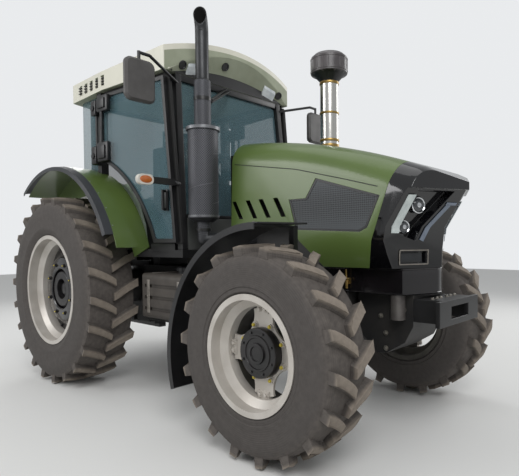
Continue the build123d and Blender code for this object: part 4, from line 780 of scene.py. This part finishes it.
for side in (-1, 1):
    way = Vector((1, side * LAMP_SQUINT, 0)).normalized()
    for x, y, z, radius in ROUND_LAMPS:
        spot = Vector((x, side * y, z))
        rim = [(radius - 0.006, 0.001), (radius + 0.001, -0.008), (radius + 0.005, -0.004),
               (radius + 0.005, 0.006), (radius, 0.010), (radius - 0.005, 0.006), (radius - 0.006, 0.001)]
        add_turned(rims, rim, spot, way, 40)
        lens = [(0.0, 0.014), (radius * 0.35, 0.013), (radius * 0.62, 0.0105), (radius * 0.8, 0.007),
                (radius - 0.005, 0.001), (radius - 0.005, -0.002), (0.0, -0.002)]
        add_turned(lenses, lens, spot, way, 40)
        eye = [(0.0, 0.017), (radius * 0.2, 0.0165), (radius * 0.34, 0.014), (radius * 0.36, 0.009),
               (0.0, 0.009)]
        add_turned(rims, eye, spot, way, 24)
fixed("lamp_rims", rims, chrome, "hood")
fixed("lamp_lenses", lenses, lamp_smoke, "hood")

AHEAD_X = 2.6
TRIM_BARS = (((0.020, 1.526), (0.092, 1.526), 0.016), ((0.070, 1.520), (0.168, 1.300), 0.030))
FOG_FRAME = ((0.108, 1.240), (0.307, 1.240), (0.307, 1.152), (0.108, 1.152), (0.108, 1.240))
nose_surface = surface_of("nose_fascia")
bm = bmesh.new()
for side in (-1, 1):
    for a, b, wide in TRIM_BARS:
        path = [(AHEAD_X, side * y, z) for y, z in (a, b)]
        add_strip(bm, nose_surface, path, wide, 0.004, (-1, 0, 0), 12)
fixed("nose_trim", bm, trim_blue, "hood")
bm = bmesh.new()
for side in (-1, 1):
    for a, b in zip(FOG_FRAME, FOG_FRAME[1:]):
        path = [(AHEAD_X, side * y, z) for y, z in (a, b)]
        add_strip(bm, nose_surface, path, 0.007, 0.003, (-1, 0, 0), 10)
fixed("fog_lamp_frames", bm, strap_grey, "hood")

# Intake stack: a polished steel pipe with band clamps, under a charcoal moulded pre-cleaner bowl with a black
# skirt. The pipe is drawn tube, and it shows long upright streaks, made 6 mm wide so that they show.
STREAK = 0.006
STACK = (1.040, 0.200)
bowl_grey = coat("charcoal_moulded_bowl", "#4f4b4c", "#423e40", 0.34, 0.1, 0.003, 0.0002)
BOWL_LOW = 2.645
SKIRT_LOW = 2.585
polished, tree, shader, place = new_finish("polished_steel_tube", Metallic=1.0)
drawn = add_node(tree, "ShaderNodeMapping", inputs={"Vector": place, "Scale": (1, 1, 0.04)})
streaks = add_node(tree, "ShaderNodeTexNoise", inputs={
    "Vector": drawn.outputs[0], "Scale": 1 / STREAK, "Detail": 3.0})
shade = add_node(tree, "ShaderNodeMix", {"data_type": "RGBA"}, {
    "Factor": streaks.outputs["Fac"], 6: linear("#dad9d4"), 7: linear("#b3b2ac")})
dull = add_node(tree, "ShaderNodeMapRange", inputs={
    "Value": streaks.outputs["Fac"], "To Min": 0.14, "To Max": 0.3})
tree.links.new(shade.outputs[2], shader.inputs["Base Color"])
tree.links.new(dull.outputs[0], shader.inputs["Roughness"])
finished("intake_stack", polished, PLATE_EDGE,
         ((bowl_grey, lambda spot, way: spot.z > BOWL_LOW),
          (guard_black, lambda spot, way: SKIRT_LOW < spot.z <= BOWL_LOW and way.z < 0.9)))
CLAMPS = ((2.575, 0.010), (2.334, 0.008), (2.116, 0.010), (2.070, 0.014))
CLAMP_SCREW = 0.084
bm = bmesh.new()
for z, thick in CLAMPS:
    band = [(0.0725, -thick), (0.0775, -thick), (0.0790, -thick * 0.6), (0.0790, thick * 0.6),
            (0.0775, thick), (0.0725, thick)]
    add_turned(bm, band, (*STACK, z), (0, 0, 1))
    y = STACK[1] - CLAMP_SCREW
    add_bar(bm, (STACK[0] - 0.020, y, z), (STACK[0] + 0.020, y, z), 0.006, 8)
fixed("intake_clamps", bm, yellow_zinc, "hood")

BOWL_REACH = 0.1475
BOWL_RINGS = (2.668, 2.762)
BOWL_TOP = 2.8045
BOWL_RIBS = 20
bm = bmesh.new()
for z in BOWL_RINGS:
    ring = [(BOWL_REACH, -0.006), (0.1515, -0.004), (0.1515, 0.004), (BOWL_REACH, 0.006)]
    add_turned(bm, ring, (*STACK, z), (0, 0, 1))
knob = [(0.0, 0.0), (0.040, 0.0), (0.040, 0.008), (0.030, 0.012), (0.0, 0.012)]
add_turned(bm, knob, (*STACK, BOWL_TOP), (0, 0, 1))
for step in range(BOWL_RIBS):
    angle = 2 * math.pi * step / BOWL_RIBS
    way = Vector((math.cos(angle), math.sin(angle), 0))
    spot = Vector((*STACK, 2.674)) + way * BOWL_REACH
    add_bar(bm, spot, spot + Vector((0, 0, 0.082)), 0.0032, 6)
fixed("intake_bowl_ribs", bm, bowl_grey, "hood")

# Exhaust: a silencer in a rolled perforated shield with wrapped seams, and a bare upper pipe in charcoal heat
# paint. Two struts from the pipe to the cab's header steady it. The shield's holes are drawn coarse, to show.
SHIELD_PITCH = 0.013
SILENCER = (0.370, -0.560)
SHIELD = 0.118
shield_dark, tree, shader, place = new_finish("perforated_heat_shield", Roughness=0.46, Metallic=0.45)
centred = add_node(tree, "ShaderNodeMapping", inputs={
    "Vector": place, "Location": (-SILENCER[0], -SILENCER[1], 0)})
split = add_node(tree, "ShaderNodeSeparateXYZ", inputs={0: centred.outputs[0]})
round_way = add_node(tree, "ShaderNodeMath", {"operation": "ARCTAN2"}, {
    0: split.outputs["Y"], 1: split.outputs["X"]})
laid_out = add_node(tree, "ShaderNodeMath", {"operation": "MULTIPLY"}, {0: round_way.outputs[0], 1: SHIELD})
flat = add_node(tree, "ShaderNodeCombineXYZ", inputs={"X": laid_out.outputs[0], "Y": split.outputs["Z"]})
diagonal = add_node(tree, "ShaderNodeMapping", inputs={
    "Vector": flat.outputs[0], "Rotation": (0, 0, math.pi / 4)})
holes = add_node(tree, "ShaderNodeTexVoronoi", {"voronoi_dimensions": "2D"}, {
    "Vector": diagonal.outputs[0], "Scale": 1 / SHIELD_PITCH, "Randomness": 0.0})
punched = add_node(tree, "ShaderNodeMapRange", inputs={
    "Value": holes.outputs["Distance"], "From Min": 0.26, "From Max": 0.40})
shade = add_node(tree, "ShaderNodeMix", {"data_type": "RGBA"}, {
    "Factor": punched.outputs[0], 6: linear("#1d1d20"), 7: linear("#55565b")})
bump = add_node(tree, "ShaderNodeBump", inputs={
    "Height": punched.outputs[0], "Distance": 0.0012, "Strength": 0.7})
tree.links.new(shade.outputs[2], shader.inputs["Base Color"])
tree.links.new(bump.outputs[0], shader.inputs["Normal"])
pipe_dark = coat("heat_paint_charcoal", "#3a3b3d", "#2a2b2d", 0.4, 0.12, 0.004, 0.0004, Metallic=0.5)
soot = coat("soot_lining", "#0b0a0a", "#141212", 0.9, 0.03, 0.003, 0.0004)
PIPE_STEP = 2.55
SHIELD_FOOT = 1.4
BEND_START = 2.940
BEND_MIDDLE = Vector((0.420, -0.620, 2.990))


def in_bore(spot, way):
    """Faces inside the bent outlet look back to the pipe's own middle line."""
    return spot.z > BEND_START and way.dot(spot - BEND_MIDDLE) < -0.02


finished("exhaust_stack", pipe_dark, 0.0,
         ((shield_dark, lambda spot, way: abs(way.z) < 0.5 and SHIELD_FOOT < spot.z < PIPE_STEP),
          (soot, in_bore)))
seam_pale = coat("welded_seam", "#7c7d80", "#67686b", 0.4, 0.03, 0.003, 0.0003, Metallic=0.7)
SEAM_STARTS = (1.60, 1.98)
SEAM_RISE = 0.16
SEAM_STEPS = 72
SHIELD_BANDS = ((1.505, SHIELD, 0.008), (2.186, 0.128, 0.012))
PIPE_CLAMPS = ((2.42, 0.0655, 0.0695, 0.014), (1.40, 0.0505, 0.0600, 0.010))
SEAM_BEAD = ((-0.001, -0.003), (0.0015, 0.0), (-0.001, 0.003))
bm = bmesh.new()
for z in SEAM_STARTS:
    start = [bm.verts.new((SHIELD + out, 0, z + up)) for out, up in SEAM_BEAD]
    edges = [bm.edges.new(ends) for ends in zip(start, start[1:])]
    bmesh.ops.spin(bm, geom=start + edges, axis=(0, 0, 1), cent=(0, 0, 0), angle=2 * math.pi,
                   dvec=(0, 0, SEAM_RISE / SEAM_STEPS), steps=SEAM_STEPS)
bmesh.ops.translate(bm, vec=(*SILENCER, 0), verts=bm.verts)
for z, reach, high in SHIELD_BANDS:
    band = [(reach - 0.001, -high), (reach + 0.004, -high), (reach + 0.004, high), (reach - 0.001, high)]
    add_turned(bm, band, (*SILENCER, z), (0, 0, 1))
fixed("silencer_seams", bm, seam_pale, "chassis")

STRUTS = (((0.405, -0.500, 2.425), (0.100, -0.090, 2.660)), ((0.405, -0.500, 2.405), (0.100, -0.040, 2.660)))
bm = bmesh.new()
for foot, top in STRUTS:
    add_bar(bm, foot, top, 0.010)
for z, inner, outer, high in PIPE_CLAMPS:
    clamp = [(inner, -high), (outer, -high), (outer, high), (inner, high)]
    add_turned(bm, clamp, (*SILENCER, z), (0, 0, 1))
fixed("exhaust_stay", bm, steel_black, "chassis")
finished("hood_support", steel_black, PLATE_EDGE)

# Cab shell: a welded tube frame in satin black with grey inner panels, under a moulded cream roof.
# The roof's underside and the visor's face carry a matt grey-green painted shade, with a black header over
# the windscreen and three dark pockets. The rear lamps show bright cells, and the vents have slats.
roof_cream = coat("roof_gel_coat", "#d3d1c3", "#c8c6b8", 0.42, 0.5, 0.01, 0.0001)
# Painted shade: on faces that look down, the cream roof is painted a darker grey-green for the shade under
# the roof.
roof_painted_shade = coat("roof_painted_shade_paint", "#979c88", "#8a8f7b", 0.7, 0.2, 0.002, 0.0003)
inner_grey = coat("inner_panel_plastic", "#4b4d4b", "#404240", 0.6, 0.2, 0.002, 0.0003)
ROOF_UNDER = -0.1
ROOF_HEAD = 0.115
HEAD_HALF = 0.7
HEADER_TOP = 2.6795
CAB_EDGE = 0.006
for node in ("front_pillars", "door_pillars", "rear_pillars"):
    finished(node, steel_black, CAB_EDGE)
finished("cab_floor", steel_black, PLATE_EDGE)
for node in ("cab_firewall", "cab_rear_panel"):
    finished(node, inner_grey, PLATE_EDGE)
finished("cab_roof", roof_cream, CAB_EDGE,
         ((roof_painted_shade, lambda spot, way: way.z < ROOF_UNDER),
          (steel_black, lambda spot, way: way.x > 0.7 and spot.x < ROOF_HEAD and abs(spot.y) < HEAD_HALF)))
finished("roof_lamps", lamp_clear, PLATE_EDGE)

bm = bmesh.new()
add_block(bm, (0.035, -0.585, 2.625), (0.100, 0.585, HEADER_TOP), CAB_EDGE)
add_block(bm, (0.172, -0.60, 1.4985), (0.215, 0.60, 1.530), CAB_EDGE)
for side in (-1, 1):
    add_block(bm, (-1.28, side * 0.57, 2.64), (-0.15, side * 0.64, HEADER_TOP), CAB_EDGE)
fixed("cab_headers", bm, steel_black, "chassis")

# Painted shade: a thin grey-green sheet lies on the visor's face below a cream strip at the top, for the
# shade on the visor.
CROWN_Z = 2.990
CROWN_R = 2.356
RIM_CREAM = 0.046
VISOR_HALF = 0.728
VISOR_LOW = 2.684
SHADE_SHEET_MIDDLE = 2.912
SHADE_SHEET_FALL = 0.260
SHADE_SHEET_LIFT = 0.0012
roof_surface = surface_of("cab_roof")
bm = bmesh.new()
bmesh.ops.create_grid(bm, x_segments=60, y_segments=8, size=0.5)
for vert in bm.verts:
    y = 2 * vert.co.x * VISOR_HALF
    share = (y / VISOR_HALF) ** 2
    top = CROWN_Z - CROWN_R + math.sqrt(CROWN_R ** 2 - y ** 2) - RIM_CREAM
    low = max(VISOR_LOW, SHADE_SHEET_MIDDLE - SHADE_SHEET_FALL * share)
    z = top + (low - top) * (vert.co.y + 0.5)
    hit = roof_surface.ray_cast((1.0, y, z), (-1, 0, 0))[0]
    vert.co = hit + Vector((SHADE_SHEET_LIFT, 0, 0))
bmesh.ops.recalc_face_normals(bm, faces=bm.faces)
bmesh.ops.solidify(bm, geom=bm.faces[:], thickness=0.001)
fixed("visor_painted_shade", bm, roof_painted_shade, "chassis")

POCKETS = ((0.150, -0.130), (0.132, 0.570), (0.132, -0.570))
POCKET = ((0.0, 0.001), (0.026, 0.001), (0.029, 0.007), (0.036, 0.007), (0.038, 0.002), (0.038, -0.004),
          (0.0, -0.004))
bm = bmesh.new()
for x, y in POCKETS:
    spot, way = roof_surface.ray_cast((x, y, 2.60), (0, 0, 1))[:2]
    way = way if way.z < 0 else -way
    add_turned(bm, POCKET, spot, way, 28)
fixed("visor_pockets", bm, guard_black, "chassis")

CELL_PITCH = 0.026
CELL = 0.018
CELL_LOW = 2.738
REAR_LAMP_Y = 0.444
bm = bmesh.new()
for side in (-1, 1):
    for row in range(2):
        z = CELL_LOW + CELL_PITCH * row
        for column in range(5):
            y = side * REAR_LAMP_Y + CELL_PITCH * (column - 2)
            add_block(bm, (-1.4668, y - CELL / 2, z), (-1.4645, y + CELL / 2, z + CELL), 0.0007)
fixed("work_lamp_cells", bm, chrome, "chassis")

VENT_START = -1.225
VENT_PITCH = 0.11
SLAT_LOW = 2.734
SLAT_PITCH = 0.026
bm = bmesh.new()
for side in (-1, 1):
    for index in range(5):
        x = VENT_START + VENT_PITCH * index
        for slat in range(3):
            z = SLAT_LOW + SLAT_PITCH * slat
            add_block(bm, (x + 0.001, side * 0.7785, z), (x + 0.054, side * 0.797, z + 0.008))
fixed("roof_vent_slats", bm, guard_black, "chassis")

# Mirrors and turn lamps: moulded grey heads on black tubes, with silvered glass behind, and amber lenses on
# stalks. The heads have a dull grain, and the lenses a clear shine.
MIRROR_Y = 1.0275
MIRROR_LOW = 2.32
MIRROR_HIGH = 2.645
TURN_LAMP = (0.995, 1.77)
TURN_FACES = ((0.2495, 1), (0.2105, -1))
TURN_LENS = ((0.0, 0.008), (0.014, 0.0072), (0.024, 0.005), (0.030, 0.0), (0.030, -0.003), (0.0, -0.003))
mirror_grey = coat("moulded_mirror_head", "#4b4948", "#403e3d", 0.45, 0.1, 0.002, 0.0003)
silvered = coat("silvered_glass", "#c9d2d6", "#bcc6cb", 0.04, 0.4, 0.05, 0.00002, Metallic=1.0)
amber = coat("amber_lens", "#b8642c", "#9c5122", 0.2, 0.03, 0.004, 0.0004, Coat_Weight=0.6)
lens_rim = coat("white_lens_rim", "#cfcbc2", "#bcb8af", 0.4, 0.05, 0.002, 0.0001)
finished("mirrors", steel_black, 0.0,
         ((mirror_grey, lambda spot, way: abs(spot.y) > 0.90 and MIRROR_LOW < spot.z < MIRROR_HIGH),
          (lens_rim, lambda spot, way: abs(spot.y) > 0.925 and spot.z < 2.0)))
bm, lenses = bmesh.new(), bmesh.new()
for side in (-1, 1):
    y = side * MIRROR_Y
    add_block(bm, (0.2025, y - 0.100, 2.35), (0.2055, y + 0.100, 2.62), 0.001)
    for x, way in TURN_FACES:
        part = bmesh.new()
        add_turned(part, TURN_LENS, (0, 0, 0), (way, 0, 0), 32)
        bmesh.ops.scale(part, vec=(1, 1.75, 0.95), verts=part.verts)
        bmesh.ops.translate(part, vec=(x, side * TURN_LAMP[0], TURN_LAMP[1]), verts=part.verts)
        join(lenses, part)
fixed("mirror_glass", bm, silvered, "chassis")
fixed("turn_lamp_lenses", lenses, amber, "chassis")

# Glass: flat panes of lightly tinted safety glass, bonded into black frames.
# The tint is a cool blue-grey, and a black rubber seal lies round the rear window, with a latch on its sill.
GLASS_TINT = "#56727a"
glass, _, shader, _ = new_finish("tinted_safety_glass", Roughness=0.06, IOR=1.45, Alpha=0.45)
shader.inputs["Base Color"].default_value = linear(GLASS_TINT)
for node in ("rear_window", "quarter_glass", "windscreen", "door_glass_left", "door_glass_right"):
    finished(node, glass, 0.0)
seal_black = coat("rubber_glazing_seal", "#0d0d0d", "#161616", 0.7, 0.05, 0.002, 0.0003)
SEAL_BACK = -1.292
SEAL_FRONT = -1.278
SEAL_HALF = 0.014
bm = bmesh.new()
for y in (-0.555, 0.555):
    add_block(bm, (SEAL_BACK, y - SEAL_HALF, 1.765), (SEAL_FRONT, y + SEAL_HALF, 2.665), 0.003)
for z in (1.768, 2.660):
    add_block(bm, (SEAL_BACK, -0.565, z - SEAL_HALF), (SEAL_FRONT, 0.565, z + SEAL_HALF), 0.003)
add_bar(bm, (-1.300, 0.0, 1.715), (-1.300, 0.0, 1.79), 0.022)
add_block(bm, (-1.300, -0.006, 1.79), (SEAL_BACK, 0.20, 1.806), 0.002)
fixed("rear_window_seal", bm, seal_black, "chassis")

# Doors: welded black frames that swing on two hinges behind the driver, each hinge under a moulded cover.
# A rod joins the covers, and a pull handle sits near the front edge. Rubber seals on the cab meet the frames.
DOOR_TOE = math.radians(4.8)
HINGE = (-0.800, 0.800)
HINGE_COVERS = ((2.030, 2.205), (2.475, 2.620))
HINGE_ROD = (2.19, 2.49)
HANDLE_Z = 1.64
DOOR_EDGE = (0.150, 1.970)
DOOR_LEAN = -0.0967
PILLAR_ROD = (-0.868, 0.800)
HANDLE_X = 0.110
HANDLE_OUT = 0.838
for side, word in SIDES:
    finished(f"door_{word}", steel_black, PLATE_EDGE)
    hung = (Matrix.Translation((HINGE[0], side * HINGE[1], 0)) @ Matrix.Rotation(-side * DOOR_TOE, 4, "Z")
            @ Matrix.Translation((-HINGE[0], -side * HINGE[1], 0)))
    bm = bmesh.new()
    inner, outer = side * 0.738, side * 0.761
    add_block(bm, (-0.795, inner, 2.600), (0.085, outer, 2.6785), 0.005, hung)
    middle = Matrix.Translation((DOOR_EDGE[0], 0, DOOR_EDGE[1])) @ Matrix.Rotation(DOOR_LEAN, 4, "Y")
    add_block(bm, (-0.045, inner, -0.68), (0.030, outer, 0.68), 0.005, hung @ middle)
    fixed(f"door_seals_{word}", bm, seal_black, "chassis")
    bm = bmesh.new()
    inner, outer, lid = side * 0.806, side * 0.846, side * 0.860
    for low, high in HINGE_COVERS:
        add_block(bm, (-0.788, inner, low), (-0.630, outer, high), 0.010, hung)
        add_block(bm, (-0.770, outer, low + 0.025), (-0.660, lid, high - 0.030), 0.006, hung)
    low, high = [hung @ Vector((-0.735, side * 0.832, z)) for z in HINGE_ROD]
    add_bar(bm, low, high, 0.014)
    fixed(f"door_hinge_covers_{word}", bm, guard_black, f"door_{word}")
    bm = bmesh.new()
    inner, outer = side * 0.774, side * 0.836
    for low, high in HINGE_COVERS:
        middle = (low + high) / 2 - 0.02
        add_block(bm, (-0.915, inner, low - 0.010), (-0.832, outer, high - 0.020), 0.010)
        add_bar(bm, (-0.872, side * 0.830, middle), (-0.872, side * 0.846, middle), 0.026)
    low, high = [(PILLAR_ROD[0], side * PILLAR_ROD[1], z) for z in HINGE_ROD]
    add_bar(bm, low, high, 0.012)
    fixed(f"pillar_hinge_covers_{word}", bm, guard_black, "chassis")
    bm = bmesh.new()
    plate_low = (0.085, side * 0.797, HANDLE_Z - 0.085)
    add_block(bm, plate_low, (0.135, side * 0.812, HANDLE_Z + 0.085), 0.005, hung)
    low, high = [hung @ Vector((HANDLE_X, side * HANDLE_OUT, HANDLE_Z + up)) for up in (-0.080, 0.080)]
    add_bar(bm, low, high, 0.011)
    for up in (-0.072, 0.072):
        foot, top = [hung @ Vector((HANDLE_X, side * out, HANDLE_Z + up)) for out in (0.808, HANDLE_OUT)]
        add_bar(bm, foot, top, 0.010)
    fixed(f"door_handle_{word}", bm, guard_black, f"door_{word}")

# Driver's place: a sprung seat with dark woven covers on a bellows base, a moulded console with the wheel,
# and pale green trim along the cab's sides. The foam pads have raised edges round a dished middle.
cloth = coat("woven_seat_cover", "#232427", "#2e2f33", 0.9, 0.02, 0.003, 0.001)
finished("steering_console", inner_grey, PLATE_EDGE)
trim_green = coat("pale_green_trim", "#b4c4b2", "#a6b6a2", 0.6, 0.2, 0.002, 0.0003)
TRIM_LINE = ((-1.235, 1.262), (-0.34, 1.262), (-0.37, 1.46), (-0.47, 1.66), (-0.62, 1.80), (-0.80, 1.87),
             (-1.235, 1.87))
TRIM_INNER = 0.612
TRIM_THICK = 0.024
for side, word in SIDES:
    bm = bmesh.new()
    plate = bm.faces.new([bm.verts.new((x, side * TRIM_INNER, z)) for x, z in TRIM_LINE])
    grown = bmesh.ops.extrude_face_region(bm, geom=[plate])["geom"]
    outer = [g for g in grown if isinstance(g, bmesh.types.BMVert)]
    bmesh.ops.translate(bm, vec=(0, side * TRIM_THICK, 0), verts=outer)
    bmesh.ops.bevel(bm, geom=bm.edges[:], offset=0.006, segments=2, profile=0.5, affect="EDGES", material=-1)
    add_block(bm, (-1.10, side * 0.50, 1.780), (-0.62, side * 0.615, 1.850), 0.012)
    fixed(f"cab_side_trim_{word}", bm, trim_green, "chassis")

FOLDS = 6
FOLD_PITCH = 0.05
FOLD_IN = 0.165
FOLD_OUT = 0.185
bm = bmesh.new()
bellows = [(0.0, 0.0)]
for fold in range(FOLDS):
    bellows += [(FOLD_IN, 0.012 + FOLD_PITCH * fold), (FOLD_OUT, 0.037 + FOLD_PITCH * fold)]
bellows += [(FOLD_IN, 0.316), (0.0, 0.316)]
add_turned(bm, bellows, (-0.525, 0, 1.2405), (0, 0, 1), 4)
fixed("seat_bellows", bm, guard_black, "chassis")

DISH = 0.85


def padded_block(name, low, high, edge_rise):
    """A foam pad: a block with many rows, its edges raised round a dished middle and then smoothed."""
    low, high = Vector(low), Vector(high)
    middle, size = (low + high) / 2, high - low
    bm = bmesh.new()
    bmesh.ops.create_cube(bm, size=1.0)
    bmesh.ops.subdivide_edges(bm, edges=bm.edges, cuts=11, use_grid_fill=True)
    for vert in bm.verts:
        spans = [1 - (2 * c) ** 2 for c in vert.co]
        for axis in range(3):
            if abs(abs(vert.co[axis]) - 0.5) < 0.001:
                others = [spans[i] for i in range(3) if i != axis]
                rise = edge_rise * (abs(others[0] * others[1] - DISH) - (1 - DISH)) / size[axis]
                vert.co[axis] += math.copysign(1.0, vert.co[axis]) * rise
        vert.co = middle + Vector([c * s for c, s in zip(vert.co, size)])
    for _ in range(2):
        bmesh.ops.smooth_vert(bm, verts=bm.verts, factor=0.5,
                              use_axis_x=True, use_axis_y=True, use_axis_z=True)
    made = fixed(name, bm, cloth, "chassis")
    return made


cushion = padded_block("seat_cushion", (-0.715, -0.255, 1.565), (-0.235, 0.255, 1.690), 0.020)
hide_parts("seat")
padded_block("seat_back", (-0.815, -0.245, 1.680), (-0.705, 0.245, 2.235), 0.018)
padded_block("seat_head_rest", (-0.800, -0.140, 2.240), (-0.715, 0.140, 2.420), 0.014)
